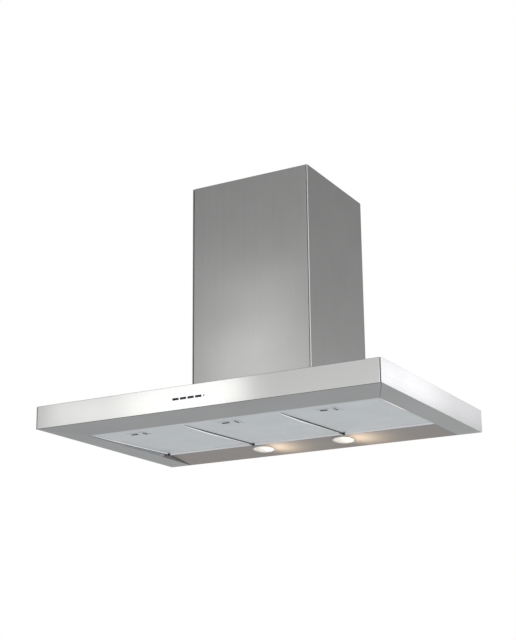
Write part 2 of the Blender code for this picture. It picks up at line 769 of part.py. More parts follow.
def build_casing():
    """The blower's box, open to the canopy below, with the outlet and the cable gland in its top."""
    centre = (0, 0, (CASING_BOTTOM_Z + CASING_TOP_Z) / 2)
    casing = box("blower_casing", (CASING_WIDTH, CASING_DEPTH, CASING_HEIGHT), centre, GALVANISED)
    hollow = box(
        "casing_inside",
        (CASING_WIDTH - 2 * SHEET, CASING_DEPTH - 2 * SHEET, CASING_HEIGHT),
        (centre[0], centre[1], centre[2] - SHEET),
        group=CUTTERS,
    )
    cut(casing, hollow)
    outlet = cylinder(
        "casing_outlet",
        SPIGOT_RADIUS - SHEET,
        0.02,
        (0, 0, CASING_TOP_Z),
        sides=48,
        group=CUTTERS,
    )
    cut(casing, outlet)
    gland_x = CASING_WIDTH / 2 - 2 * GLAND_RADIUS
    gland_y = CASING_DEPTH / 2 - 2 * GLAND_RADIUS
    gland_z = CASING_TOP_Z + CONTACT_GAP + GLAND_HEIGHT / 2
    ring("cable_gland", GLAND_RADIUS, GLAND_BORE_RADIUS, GLAND_HEIGHT, (gland_x, gland_y, gland_z), BLACK)
    wire_hole = cylinder(
        "wire_hole", GLAND_BORE_RADIUS, 0.02, (gland_x, gland_y, CASING_TOP_Z), sides=16, group=CUTTERS
    )
    cut(casing, wire_hole)


def build_spigot():
    """The round duct collar with two half-round flaps that lift about a pin across it."""
    base_z = CASING_TOP_Z + CONTACT_GAP
    spigot = cylinder(
        "outlet_spigot",
        SPIGOT_RADIUS,
        SPIGOT_HEIGHT,
        (0, 0, base_z + SPIGOT_HEIGHT / 2),
        GREY,
        sides=48,
    )
    rim = cylinder(
        "spigot_rim",
        SPIGOT_RADIUS + SPIGOT_RIM,
        FRAME_SHEET,
        (0, 0, base_z + FRAME_SHEET / 2),
        sides=48,
        group=CUTTERS,
    )
    add(spigot, rim)
    bore_radius = SPIGOT_RADIUS - FRAME_SHEET
    bore = cylinder(
        "spigot_bore", bore_radius, 3 * SPIGOT_HEIGHT, (0, 0, base_z), sides=48, group=CUTTERS
    )
    cut(spigot, bore)
    pin_z = base_z + FLAP_HEIGHT
    pin_length = 2 * (bore_radius * cos(pi / 48) - CONTACT_GAP)
    cylinder("flap_pin", FLAP_PIN_RADIUS, pin_length, (0, 0, pin_z), STEEL, (0, pi / 2, 0), sides=12)
    flap_radius = bore_radius - 3 * RUNNING_GAP
    for name, side in (("front", -1), ("rear", 1)):
        flap = cylinder(
            f"backdraft_flap_{name}", flap_radius, FLAP_SHEET, (0, 0, pin_z), ALUMINIUM, sides=48
        )
        keep_from = FLAP_PIN_RADIUS + RUNNING_GAP
        away = box(
            f"flap_half_{name}",
            (0.4, 0.2, 0.02),
            (0, side * (keep_from - 0.1), pin_z),
            group=CUTTERS,
        )
        cut(flap, away)


def spiral(start_radius, growth, start, turn, count):
    """Points of a spiral about the origin, from angle start through turn."""
    points = []
    for step in range(count + 1):
        share = step / count
        angle = start + turn * share
        radius = start_radius + growth * share
        points.append((radius * cos(angle), radius * sin(angle)))
    return points


def outline_solid(name, points, thickness, centre, material=None, group=None):
    """A flat outline in the YZ plane with a thickness along X, made from a filled 2D curve."""
    curve = bpy.data.curves.new(name, "CURVE")
    curve.dimensions = "2D"
    curve.fill_mode = "BOTH"
    curve.extrude = thickness / 2
    line = curve.splines.new("POLY")
    line.points.add(len(points) - 1)
    for point, (x, y) in zip(line.points, points):
        point.co = (x, y, 0, 1)
    line.use_cyclic_u = True
    drawn = bpy.data.objects.new(name + "_curve", curve)
    bpy.context.scene.collection.objects.link(drawn)
    scene_graph = bpy.context.evaluated_depsgraph_get()
    mesh = bpy.data.meshes.new_from_object(drawn.evaluated_get(scene_graph))
    bpy.data.objects.remove(drawn, do_unlink=True)
    bpy.data.curves.remove(curve)
    shape = bmesh.new()
    shape.from_mesh(mesh)
    bmesh.ops.remove_doubles(shape, verts=shape.verts, dist=0.00001)
    bmesh.ops.recalc_face_normals(shape, faces=shape.faces)
    shape.to_mesh(mesh)
    shape.free()
    mesh.materials.clear()
    return place(name, mesh, material, centre, ACROSS, group)


def scroll_outline(base, top):
    """The scroll seen along X: a spiral from the tongue round to the outlet, then straight up."""
    curve = spiral(base, VOLUTE_GROWTH, SCROLL_START, -SCROLL_TURN, 30)
    first = curve[0]
    last = curve[-1]
    return [(first[0], top)] + curve + [(last[0], top)]


def build_volute(centre):
    """The scroll is open at the top, and has a round inlet in each side."""
    top = CASING_TOP_Z - SHEET - CONTACT_GAP - centre.z
    volute = outline_solid("volute", scroll_outline(SCROLL_BASE, top), VOLUTE_WIDTH, centre, GALVANISED)
    inside = outline_solid(
        "volute_inside",
        scroll_outline(SCROLL_BASE - SHEET, top + 0.02),
        VOLUTE_WIDTH - 2 * SHEET,
        centre,
        group=CUTTERS,
    )
    cut(volute, inside)
    across = (0, pi / 2, 0)
    inlet = cylinder(
        "volute_inlets", INLET_RADIUS, 2 * VOLUTE_WIDTH, centre, None, across, 40, group=CUTTERS
    )
    cut(volute, inlet)


def build_impeller(centre):
    """A double-inlet wheel: a middle disc, two end rings and curved-forward blades between them."""
    across = (0, pi / 2, 0)
    hub_hole = SHAFT_RADIUS + CONTACT_GAP
    wheel = cylinder("impeller", IMPELLER_RADIUS - FRAME_SHEET / 2, FRAME_SHEET, centre, BLACK, across, 40)
    add(wheel, cylinder("impeller_hub", HUB_RADIUS, HUB_LENGTH, centre, None, across, 24, group=CUTTERS))
    middle_radius = IMPELLER_RADIUS - BLADE_CHORD / 2
    blades = bmesh.new()
    for number in range(BLADE_COUNT):
        angle = 2 * pi * number / BLADE_COUNT
        made = bmesh.ops.create_cube(blades, size=1.0)["verts"]
        bmesh.ops.scale(blades, vec=(BLADE_CHORD, BLADE_SHEET, IMPELLER_WIDTH - FRAME_SHEET), verts=made)
        bmesh.ops.rotate(blades, cent=(0, 0, 0), matrix=Matrix.Rotation(radians(38), 3, "Z"), verts=made)
        bmesh.ops.translate(blades, vec=(middle_radius, 0, 0), verts=made)
        bmesh.ops.rotate(blades, cent=(0, 0, 0), matrix=Matrix.Rotation(angle, 3, "Z"), verts=made)
    blade_mesh = mesh_from("impeller_blades", blades)
    add(wheel, place("impeller_blades", blade_mesh, None, centre, across, CUTTERS))
    for side in (-1, 1):
        rim_centre = centre + Vector((side * (IMPELLER_WIDTH - FRAME_SHEET) / 2, 0, 0))
        rim = cylinder(
            f"impeller_rim_{side}", IMPELLER_RADIUS, FRAME_SHEET, rim_centre, None, across, 40, group=CUTTERS
        )
        eye = cylinder(
            f"impeller_eye_{side}",
            IMPELLER_RADIUS - BLADE_CHORD,
            0.01,
            rim_centre,
            None,
            across,
            40,
            group=CUTTERS,
        )
        cut(rim, eye)
        add(wheel, rim)
    cut(wheel, cylinder("hub_hole", hub_hole, 0.2, centre, None, across, 16, group=CUTTERS))


def build_motor(centre):
    """The motor stands beside the scroll on a three-armed bracket, and its shaft carries the wheel."""
    across = (0, pi / 2, 0)
    motor_centre = centre + Vector((MOTOR_START + MOTOR_LENGTH / 2, 0, 0))
    motor = cylinder("motor", MOTOR_RADIUS, MOTOR_LENGTH, motor_centre, MOTOR_PAINT, across, 32)
    bore_depth = MOTOR_LENGTH * 0.75
    bore = cylinder(
        "motor_bore",
        SHAFT_RADIUS + RUNNING_GAP,
        2 * bore_depth,
        centre + Vector((MOTOR_START, 0, 0)),
        None,
        across,
        16,
        group=CUTTERS,
    )
    cut(motor, bore)
    shaft_end = MOTOR_START + bore_depth - 4 * RUNNING_GAP
    shaft_start = -HUB_LENGTH
    shaft_centre = centre + Vector(((shaft_end + shaft_start) / 2, 0, 0))
    cylinder("motor_shaft", SHAFT_RADIUS, shaft_end - shaft_start, shaft_centre, STEEL, across, 16)
    bracket_centre = centre + Vector((VOLUTE_WIDTH / 2 + CONTACT_GAP + FRAME_SHEET / 2, 0, 0))
    bracket = cylinder(
        "motor_bracket", MOTOR_RADIUS * 0.75, FRAME_SHEET, bracket_centre, GALVANISED, across, 32
    )
    arm_length = INLET_RADIUS + SCROLL_GAP * 2
    for number in range(3):
        angle = pi / 2 + 2 * pi * number / 3
        middle = bracket_centre + Vector((0, cos(angle), sin(angle))) * arm_length / 2
        arm = box(
            f"bracket_arm_{number}",
            (FRAME_SHEET, arm_length, ARM_WIDTH),
            middle,
            rotation=(angle, 0, 0),
            group=CUTTERS,
        )
        add(bracket, arm)
    hole = cylinder(
        "bracket_hole", SHAFT_RADIUS + RUNNING_GAP, 0.02, bracket_centre, None, across, 16, group=CUTTERS
    )
    cut(bracket, hole)


def main():
    build_ceiling_plate()
    build_uprights()
    build_chimney()
    build_canopy_shell()
    build_flanges()
    build_lamp_panel()
    build_filters()
    build_controls()
    build_casing()
    build_spigot()
    build_volute(FAN_CENTRE)
    build_impeller(FAN_CENTRE)
    build_motor(FAN_CENTRE)


main()
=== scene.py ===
"""Looks of the island range hood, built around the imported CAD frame. All sizes are in metres."""

import json
from math import cos, pi, radians, sin, tan

import bmesh
import bpy
from mathutils import Matrix, Vector

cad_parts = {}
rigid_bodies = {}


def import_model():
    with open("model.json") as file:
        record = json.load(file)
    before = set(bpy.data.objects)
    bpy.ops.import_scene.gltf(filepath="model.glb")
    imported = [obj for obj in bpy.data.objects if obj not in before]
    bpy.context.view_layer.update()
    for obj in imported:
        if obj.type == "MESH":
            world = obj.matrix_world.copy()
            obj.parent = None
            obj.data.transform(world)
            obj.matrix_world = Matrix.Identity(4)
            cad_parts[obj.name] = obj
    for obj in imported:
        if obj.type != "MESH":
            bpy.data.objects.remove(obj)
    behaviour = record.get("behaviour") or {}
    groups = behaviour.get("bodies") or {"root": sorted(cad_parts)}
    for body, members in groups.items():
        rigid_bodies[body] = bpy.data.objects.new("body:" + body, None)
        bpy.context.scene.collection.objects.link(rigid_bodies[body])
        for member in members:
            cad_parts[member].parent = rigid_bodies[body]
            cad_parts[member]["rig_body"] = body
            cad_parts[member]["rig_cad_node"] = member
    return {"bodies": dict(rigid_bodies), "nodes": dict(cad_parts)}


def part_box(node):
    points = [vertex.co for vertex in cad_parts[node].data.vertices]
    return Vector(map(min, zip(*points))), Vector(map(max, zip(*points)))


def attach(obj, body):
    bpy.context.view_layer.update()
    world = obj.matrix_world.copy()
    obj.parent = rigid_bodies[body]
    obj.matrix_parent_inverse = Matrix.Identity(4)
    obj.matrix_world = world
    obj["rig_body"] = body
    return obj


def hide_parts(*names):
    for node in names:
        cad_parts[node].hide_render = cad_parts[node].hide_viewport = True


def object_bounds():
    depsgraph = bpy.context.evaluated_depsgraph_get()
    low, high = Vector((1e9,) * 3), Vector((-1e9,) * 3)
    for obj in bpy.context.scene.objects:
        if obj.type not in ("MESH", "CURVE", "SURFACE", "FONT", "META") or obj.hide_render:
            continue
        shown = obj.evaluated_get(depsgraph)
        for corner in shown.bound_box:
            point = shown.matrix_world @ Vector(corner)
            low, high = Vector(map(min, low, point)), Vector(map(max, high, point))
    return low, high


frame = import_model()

CAD_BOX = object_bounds()
NODES = frame["nodes"]
SCENE = bpy.context.scene

for item in list(bpy.data.objects):
    if "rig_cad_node" not in item and item not in frame["bodies"].values():
        bpy.data.objects.remove(item, do_unlink=True)


# --- materials

MIX_COLOURS = (6, 7)  # a mix node's inputs for its two colours
MIX_RESULT = 2
MOTTLE = 0.05


class Nodes:
    """Adds and joins the nodes of one tree."""

    def __init__(self, tree):
        self.tree = tree

    def node(self, kind, **settings):
        made = self.tree.nodes.new(kind)
        for key, value in settings.items():
            setattr(made, key, value)
        return made

    def join(self, source, target):
        self.tree.links.new(source, target)

    def maths(self, operation, *values):
        made = self.node("ShaderNodeMath", operation=operation)
        for slot, value in enumerate(values):
            if isinstance(value, (int, float)):
                made.inputs[slot].default_value = value
            else:
                self.join(value, made.inputs[slot])
        return made.outputs[0]


class Surface(Nodes):
    """A node material whose colour, roughness and bump come from procedural textures."""

    def __init__(self, name, colour, roughness, metallic=0.0, **sockets):
        self.material = bpy.data.materials.new(name)
        self.material.use_nodes = True
        super().__init__(self.material.node_tree)
        self.shader = self.tree.nodes["Principled BSDF"]
        self.shader.inputs["Base Color"].default_value = (*colour, 1)
        self.shader.inputs["Roughness"].default_value = roughness
        self.shader.inputs["Metallic"].default_value = metallic
        for socket, value in sockets.items():
            self.shader.inputs[socket.replace("_", " ")].default_value = value
        self.colour = colour
        self.place = self.node("ShaderNodeTexCoord").outputs["Object"]

    def noise(self, scale, stretch=(1, 1, 1), detail=3.0, rough=0.5):
        mapping = self.node("ShaderNodeMapping")
        mapping.inputs["Scale"].default_value = [scale * s for s in stretch]
        self.join(self.place, mapping.inputs["Vector"])
        made = self.node("ShaderNodeTexNoise")
        made.inputs["Scale"].default_value = 1.0
        made.inputs["Detail"].default_value = detail
        made.inputs["Roughness"].default_value = rough
        self.join(mapping.outputs["Vector"], made.inputs["Vector"])
        return made.outputs["Fac"]

    def cells(self, scale, feature="F1", output="Distance"):
        made = self.node("ShaderNodeTexVoronoi", feature=feature)
        made.inputs["Scale"].default_value = scale
        self.join(self.place, made.inputs["Vector"])
        return made.outputs[output]

    def spread(self, value, low, high, start=0.3, end=0.7):
        made = self.node("ShaderNodeMapRange")
        made.inputs["From Min"].default_value = start
        made.inputs["From Max"].default_value = end
        made.inputs["To Min"].default_value = low
        made.inputs["To Max"].default_value = high
        self.join(value, made.inputs["Value"])
        return made.outputs["Result"]

    def blend(self, factor, first, second):
        made = self.node("ShaderNodeMix", data_type="RGBA")
        self.join(factor, made.inputs["Factor"])
        for index, value in zip(MIX_COLOURS, (first, second)):
            if isinstance(value, (tuple, list)):
                made.inputs[index].default_value = value
            else:
                self.join(value, made.inputs[index])
        return made.outputs[MIX_RESULT]

    def shades(self, factor, low, high):
        """The colour times low where the factor is 0 and times high where it is 1."""
        dark = [min(1.0, c * low) for c in self.colour] + [1]
        light = [min(1.0, c * high) for c in self.colour] + [1]
        return self.blend(factor, dark, light)

    def set_colour(self, source):
        self.join(source, self.shader.inputs["Base Color"])

    def set_roughness(self, source):
        self.join(source, self.shader.inputs["Roughness"])

    def set_bump(self, height, distance, strength):
        made = self.node("ShaderNodeBump")
        made.inputs["Strength"].default_value = strength
        made.inputs["Distance"].default_value = distance
        self.join(height, made.inputs["Height"])
        self.join(made.outputs["Normal"], self.shader.inputs["Normal"])


def brushed(name, colour, roughness, grain, clouds, streaks, metallic=1.0):
    """Sheet metal brushed along one axis, with faint clouds of handling marks."""
    made = Surface(name, colour, roughness, metallic)
    across = [0.02 if axis == grain else 1.0 for axis in "xyz"]
    fine = made.noise(1400, across, 4.0, 0.6)
    broad = made.noise(160, across, 2.0)
    cloud = made.noise(5.5, detail=2.0)
    lines = made.maths("ADD", made.maths("MULTIPLY", fine, 0.6), made.maths("MULTIPLY", broad, 0.4))
    toned = made.spread(lines, 1 - streaks, 1 + streaks)
    misty = made.spread(cloud, 1 - clouds, 1 + clouds)
    total = made.maths("MULTIPLY", toned, misty)
    factor = made.spread(total, 0, 1, 0.8, 1.2)
    made.set_colour(made.shades(factor, 0.8, 1.2))
    rough = made.maths("MULTIPLY", made.spread(lines, 0.9, 1.1), made.spread(cloud, 1.06, 0.94))
    made.set_roughness(made.maths("MULTIPLY", rough, roughness))
    made.set_bump(lines, 0.00002, 0.35)
    return made.material


def moulded(name, colour, roughness, grain=900, depth=0.00003, **sockets):
    """Moulded plastic with a fine spark-eroded grain."""
    made = Surface(name, colour, roughness, 0.0, **sockets)
    fine = made.noise(grain, detail=2.0)
    cloud = made.noise(30)
    made.set_colour(made.shades(made.spread(cloud, 0, 1), 1 - MOTTLE, 1 + MOTTLE))
    made.set_roughness(made.maths("MULTIPLY", made.spread(cloud, 0.88, 1.12), roughness))
    made.set_bump(fine, depth, 0.5)
    return made.material


def spangled(name, colour, roughness):
    """Hot-dip galvanised sheet with its crystal pattern."""
    made = Surface(name, colour, roughness, 0.85)
    crystal = made.cells(130, output="Color")
    grey = made.node("ShaderNodeRGBToBW")
    made.join(crystal, grey.inputs[0])
    value = grey.outputs[0]
    cloud = made.noise(9)
    sharp, soft = made.maths("MULTIPLY", value, 0.7), made.maths("MULTIPLY", cloud, 0.3)
    mixed = made.maths("ADD", sharp, soft)
    made.set_colour(made.shades(made.spread(mixed, 0, 1, 0.2, 0.8), 0.78, 1.15))
    made.set_roughness(made.maths("MULTIPLY", made.spread(value, 0.85, 1.2, 0, 1), roughness))
    made.set_bump(cloud, 0.0001, 0.2)
    return made.material


def knitted(name, colour, roughness):
    """Layers of fine aluminium wire mesh."""
    made = Surface(name, colour, roughness, 0.9)
    wires = made.cells(420, "DISTANCE_TO_EDGE")
    cloud = made.noise(14)
    thread = made.spread(wires, 0, 1, 0.0, 0.25)
    toned = made.shades(thread, 1.05, 0.9)
    shade = made.shades(made.spread(cloud, 0, 1), 0.96, 1.03)
    made.set_colour(made.blend(cloud, toned, shade))
    made.set_roughness(made.maths("MULTIPLY", made.spread(cloud, 0.92, 1.1), roughness))
    made.set_bump(wires, 0.0002, 0.25)
    return made.material


def lit_glass(name, colour, strength):
    """The lamp's frosted lens, lit from behind, its glow a little stronger in the middle of each
    fine speck.
    """
    made = Surface(name, colour, 0.35, 0.0, Transmission_Weight=0.15, IOR=1.5)
    speck = made.cells(700)
    cloud = made.noise(60, detail=2.0)
    made.set_colour(made.shades(made.spread(cloud, 0, 1), 0.93, 1.02))
    glow = made.maths("MULTIPLY", made.spread(speck, 1.05, 0.82, 0.0, 0.6), strength)
    made.join(glow, made.shader.inputs["Emission Strength"])
    made.shader.inputs["Emission Color"].default_value = (*colour, 1)
    made.set_bump(speck, 0.0002, 0.4)
    return made.material


def circuit(name):
    """A green board with rows of copper tracks under its lacquer."""
    made = Surface(name, (0.02, 0.16, 0.07), 0.4, 0.0, Coat_Weight=0.4, Coat_Roughness=0.2)
    tracks = made.node("ShaderNodeTexBrick")
    tracks.inputs["Scale"].default_value = 260
    tracks.inputs["Color1"].default_value = (0.02, 0.16, 0.07, 1)
    tracks.inputs["Color2"].default_value = (0.03, 0.20, 0.09, 1)
    tracks.inputs["Mortar"].default_value = (0.05, 0.30, 0.13, 1)
    tracks.inputs["Mortar Size"].default_value = 0.03
    turned = made.node("ShaderNodeMapping")
    turned.inputs["Rotation"].default_value = (pi / 2, 0, 0)
    made.join(made.place, turned.inputs["Vector"])
    made.join(turned.outputs["Vector"], tracks.inputs["Vector"])
    made.set_colour(tracks.outputs["Color"])
    made.set_bump(tracks.outputs["Fac"], 0.00005, 0.3)
    return made.material


# Shaded and lit copies of one stainless steel: the chimney's copy has painted shade, and the
# skirts' and fascia's copies have painted light.
CHIMNEY_STEEL_PAINTED_DARKER = brushed("chimney_brushed_steel_painted_darker", (0.58, 0.585, 0.575), 0.31, "z", 0.05, 0.03)
SKIRT_STEEL_PAINTED_LIGHTER = brushed("skirt_satin_steel_painted_lighter", (0.93, 0.93, 0.95), 0.24, "y", 0.02, 0.02)
FASCIA_STEEL_PAINTED_LIGHTER = brushed("fascia_satin_steel_painted_lighter", (0.95, 0.95, 0.93), 0.24, "x", 0.03, 0.015)
# Painted shade: a dark steel that darkens plate edges to stand for the shadow in the gaps between
# parts.
GAP_SHADE_PAINT = brushed("painted_gap_shade_steel", (0.13, 0.13, 0.125), 0.45, "x", 0.05, 0.05)
# One flange steel brushed along x and along y; the front flange's copy is painted a little darker
# than the side flanges': painted shade.
FLANGE_X_PAINTED_DARKER = brushed("flange_steel_along_x_painted_darker", (0.425, 0.435, 0.44), 0.36, "x", 0.04, 0.03)
FLANGE_Y = brushed("flange_steel_along_y", (0.45, 0.46, 0.465), 0.36, "y", 0.04, 0.03)
# The lamp panel is the canopy's steel with painted shade and a painted warm cast of lamp light, on
# top of the real spot lights beside the lamps.
PANEL_STEEL_PAINTED_WARM_SHADE = brushed("lamp_panel_steel_painted_warm_shade", (0.318, 0.296, 0.283), 0.42, "x", 0.04, 0.03, 0.55)
BEZEL_METAL = brushed("bezel_metal", (0.62, 0.60, 0.57), 0.22, "z", 0.02, 0.01)
SHAFT_STEEL = brushed("ground_shaft_steel", (0.70, 0.70, 0.71), 0.22, "x", 0.02, 0.02)
ZINC_SCREW = brushed("zinc_plated_screw", (0.66, 0.66, 0.62), 0.28, "z", 0.04, 0.02)
GALVANISED = spangled("galvanised_sheet", (0.55, 0.57, 0.59), 0.42)
ALUMINIUM = brushed("rolled_aluminium", (0.745, 0.785, 0.81), 0.36, "x", 0.03, 0.02)
# The rolled edge is the frame's aluminium painted lighter: a painted highlight, added to the real
# highlight that its round section catches.
ROLLED_EDGE_PAINTED_HIGHLIGHT = brushed("rolled_edge_painted_highlight", (0.96, 0.97, 0.98), 0.22, "y", 0.02, 0.01)
MESH_METAL = knitted("filter_wire_mesh", (0.745, 0.785, 0.81), 0.45)
BLACK = moulded("black_moulding", (0.012, 0.012, 0.013), 0.38, Specular_IOR_Level=0.4)
WHEEL_PLASTIC = moulded("wheel_moulding", (0.030, 0.031, 0.033), 0.5)
GREY = moulded("grey_moulding", (0.27, 0.28, 0.29), 0.5)
WHITE = moulded("white_moulding", (0.80, 0.80, 0.78), 0.42)
MOTOR_PAINT = moulded("motor_enamel", (0.035, 0.036, 0.040), 0.35, 300, 0.00006, Coat_Weight=0.3)
LENS = lit_glass("frosted_lens", (0.87, 0.84, 0.79), 0.19)
BOARD = circuit("green_board")
INDICATOR = moulded("indicator_lens", (0.10, 0.09, 0.09), 0.25, Coat_Weight=0.5)


# --- meshes

WELD = 0.000002  # points closer than this are one
LEVEL = 0.0001  # points this close in height are on one flat face
ON_PLANE = 0.00005  # a point this close to a plane lies in it
HAIR = 0.00001  # no more than rounding
BEAD_STEPS = 6
ROUND_STEPS = 5


def body_of(node):
    return NODES[node]["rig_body"]


def copy_of(node):
    """A clean copy of a CAD node's mesh, with its flat faces whole again."""
    shape = bmesh.new()
    shape.from_mesh(NODES[node].data)
    bmesh.ops.remove_doubles(shape, verts=shape.verts, dist=WELD)
    bmesh.ops.dissolve_limit(shape, angle_limit=radians(0.6), verts=shape.verts, edges=shape.edges)
    return shape


def sharp_edges(shape, angle=50):
    return [
        edge
        for edge in shape.edges
        if len(edge.link_faces) == 2 and edge.calc_face_angle(0) > radians(angle)
    ]


def bevel(shape, edges, width, segments):
    if edges:
        bmesh.ops.bevel(
            shape,
            geom=edges,
            offset=width,
            segments=segments,
            profile=0.5,
            affect="EDGES",
            clamp_overlap=True,
        )


def piece(name, shape, material, body, stands_for=(), angle=35):
    """Makes the mesh an object that rides on a body, in place of the nodes that it stands for."""
    mesh = bpy.data.meshes.new(name)
    shape.to_mesh(mesh)
    shape.free()
    item = bpy.data.objects.new(name, mesh)
    SCENE.collection.objects.link(item)
    mesh.materials.append(material)
    mesh.shade_smooth()
    mesh.set_sharp_from_angle(angle=radians(angle))
    normals = item.modifiers.new("weighted normals", "WEIGHTED_NORMAL")
    normals.keep_sharp = True
    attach(item, body)
    if stands_for:
        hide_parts(*stands_for)
    return item


def refine(node, name, material, slot, width=0.0003, segments=2):
    """A piece in a CAD node's shape, with its hard edges eased."""
    shape = copy_of(node)
    bevel(shape, sharp_edges(shape), width, segments)
    return piece(name, shape, material, body_of(node), (node,))


def paint_gap_shade(made, picks):
    """Paints the shade of the gap between parts, as a dark steel, onto the faces whose normal the
    test picks.
    """
    made.data.materials.append(GAP_SHADE_PAINT)
    for face in made.data.polygons:
        if picks(face.normal):
            face.material_index = 1


def add_box(shape, low, high):
    made = bmesh.ops.create_cube(shape, size=1.0)["verts"]
    low, high = Vector(low), Vector(high)
    bmesh.ops.scale(shape, vec=high - low, verts=made)
    bmesh.ops.translate(shape, vec=(high + low) / 2, verts=made)


def add_turned(shape, profile, matrix, sides, closed=True):
    """Turns (radius, height) points about the matrix's Z. A radius of 0 closes on the axis."""
    turns = [2 * pi * k / sides for k in range(sides)]
    rings = []
    for radius, height in profile:
        points = [(radius * cos(t), radius * sin(t), height) for t in turns]
        if radius == 0:
            points = [(0, 0, height)]
        rings.append([shape.verts.new(point) for point in points])
    pairs = list(zip(rings, rings[1:]))
    if closed:
        pairs.append((rings[-1], rings[0]))
    faces = []
    for first, second in pairs:
        for k in range(sides):
            corners = []
            for ring, index in ((first, k), (first, k + 1), (second, k + 1), (second, k)):
                corner = ring[index % len(ring)]
                if corner not in corners:
                    corners.append(corner)
            if len(corners) > 2:
                faces.append(shape.faces.new(corners))
    bmesh.ops.transform(shape, matrix=matrix, verts=[v for ring in rings for v in ring])
    bmesh.ops.recalc_face_normals(shape, faces=faces)


def facing(centre, normal):
    """The matrix that puts an object's +Z along a normal at a point."""
    turn = Vector(normal).to_track_quat("Z", "Y").to_matrix().to_4x4()
    return Matrix.Translation(centre) @ turn


def middle(node):
    low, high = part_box(node)
    return (low + high) / 2


def down_normal(node):
    """The normal of a node's largest flat face, on the side that looks down."""
    shape = copy_of(node)
    largest = max(shape.faces, key=lambda face: face.calc_area())
    normal = largest.normal.copy()
    shape.free()
    return normal if normal.z < 0 else -normal


def own_points(node, origin):
    """A node's points in the axes of the origin's matrix."""
    inverse = origin.inverted()
    return [inverse @ v.co for v in NODES[node].data.vertices]


def extent(points):
    """The low and high corners of the box round some points."""
    return [Vector([pick(p[i] for p in points) for i in range(3)]) for pick in (min, max)]


def local_frame(node):
    """A flat node's own axes: X along the canopy, Z up through its thickness."""
    up = -down_normal(node)
    along = Vector((1, 0, 0))
    across = up.cross(along).normalized()
    turn = Matrix((along, across, up)).transposed().to_4x4()
    origin = Matrix.Translation(middle(node)) @ turn
    return origin, *extent(own_points(node, origin))


# --- chimney

SEAM = 0.0018
WRAP_CORNER = 0.0014
WRAP_INNER_CORNER = 0.0004
WRAP_RIM_BEVEL = 0.0005
COVER_BEVEL = 0.0011
CHIMNEY_SCREW_INSET = 0.020
CHIMNEY_SCREW_HEIGHTS = (0.06, 0.30, 0.54)


def rounded_path(points, radius):
    """A line of points with its inner corners rounded."""
    path = [Vector(points[0])]
    for before, corner, after in zip(points, points[1:], points[2:]):
        corner = Vector(corner)
        back = (Vector(before) - corner).normalized()
        ahead = (Vector(after) - corner).normalized()
        half = back.angle(ahead) / 2
        reach = min(radius / tan(half), (Vector(before) - corner).length * 0.9)
        centre = corner + (back + ahead).normalized() * (reach / cos(half))
        start = corner + back * reach - centre
        end = corner + ahead * reach - centre
        for k in range(ROUND_STEPS + 1):
            turned = start.normalized().slerp(end.normalized(), k / ROUND_STEPS)
            path.append(centre + turned * start.length)
    path.append(Vector(points[-1]))
    return path


def build_chimney():
    """A rear sheet that wraps round the corners, and a front cover between its lips."""
    low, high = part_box("chimney_rear_shell")
    panel_low, panel_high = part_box("chimney_front_panel")
    sheet = panel_high.y - panel_low.y
    lip = panel_high.x + SEAM

    def section(inset, radius):
        corners = [
            (lip, low.y + inset, 0),
            (high.x - inset, low.y + inset, 0),
            (high.x - inset, high.y - inset, 0),
            (low.x + inset, high.y - inset, 0),
            (low.x + inset, low.y + inset, 0),
            (-lip, low.y + inset, 0),
        ]
        return rounded_path(corners, radius)

    outer = section(0, WRAP_CORNER)
    inner = section(sheet, WRAP_INNER_CORNER)
    shape = bmesh.new()
    rims = []
    for z in (low.z, high.z):
        for line in (outer, inner):
            rims.append([shape.verts.new((p.x, p.y, z)) for p in line])
    outer_low, inner_low, outer_high, inner_high = rims
    for k in range(len(outer) - 1):
        n = k + 1
        shape.faces.new((outer_low[k], outer_low[n], outer_high[n], outer_high[k]))
        shape.faces.new((inner_low[n], inner_low[k], inner_high[k], inner_high[n]))
        shape.faces.new((outer_high[k], outer_high[n], inner_high[n], inner_high[k]))
        shape.faces.new((outer_low[n], outer_low[k], inner_low[k], inner_low[n]))
    for k in (0, -1):
        shape.faces.new((outer_low[k], outer_high[k], inner_high[k], inner_low[k]))
    bmesh.ops.recalc_face_normals(shape, faces=shape.faces)
    rim_edges = [
        edge
        for edge in sharp_edges(shape, 60)
        if abs(edge.verts[0].co.z - edge.verts[1].co.z) < HAIR
    ]
    bevel(shape, rim_edges, WRAP_RIM_BEVEL, 3)
    steel = (CHIMNEY_STEEL_PAINTED_DARKER, "brushed_steel")
    shell = "chimney_rear_shell"
    piece("chimney_wrap", shape, CHIMNEY_STEEL_PAINTED_DARKER, body_of(shell), (shell,), 50)
    cover = refine("chimney_front_panel", "chimney_front_cover", *steel, COVER_BEVEL, 4)
    # The cover's side edges get painted shade for the seam gap beside the wrap's lips; the gap
    # itself is real geometry.
    paint_gap_shade(cover, lambda n: n.y > -0.60 and abs(n.x) > 0.3)
    refine("upper_chimney", "upper_chimney_tube", *steel)
    rear = []
    for side in (-1, 1):
        for height in CHIMNEY_SCREW_HEIGHTS:
            x = side * (high.x - CHIMNEY_SCREW_INSET)
            rear.append(((x, high.y, low.z + height), (0, 1, 0)))
    fasteners("chimney_screws", rear, body_of(shell), *CHIMNEY_SCREW)


# --- small parts

HEAD_SIDES = 18
SOCKET_SIDES = 6
# Heads: radius, height
CHIMNEY_SCREW = (0.0032, 0.0018)
ROOF_RIVET = (0.0024, 0.0011)
LID_SCREW = (0.0030, 0.0014)
MOTOR_SCREW = (0.0030, 0.0020)
CASING_SCREW = (0.0028, 0.0010)
COLLAR_SCREW = (0.0026, 0.0014)
CLAMP_SCREW = (0.0042, 0.0026)


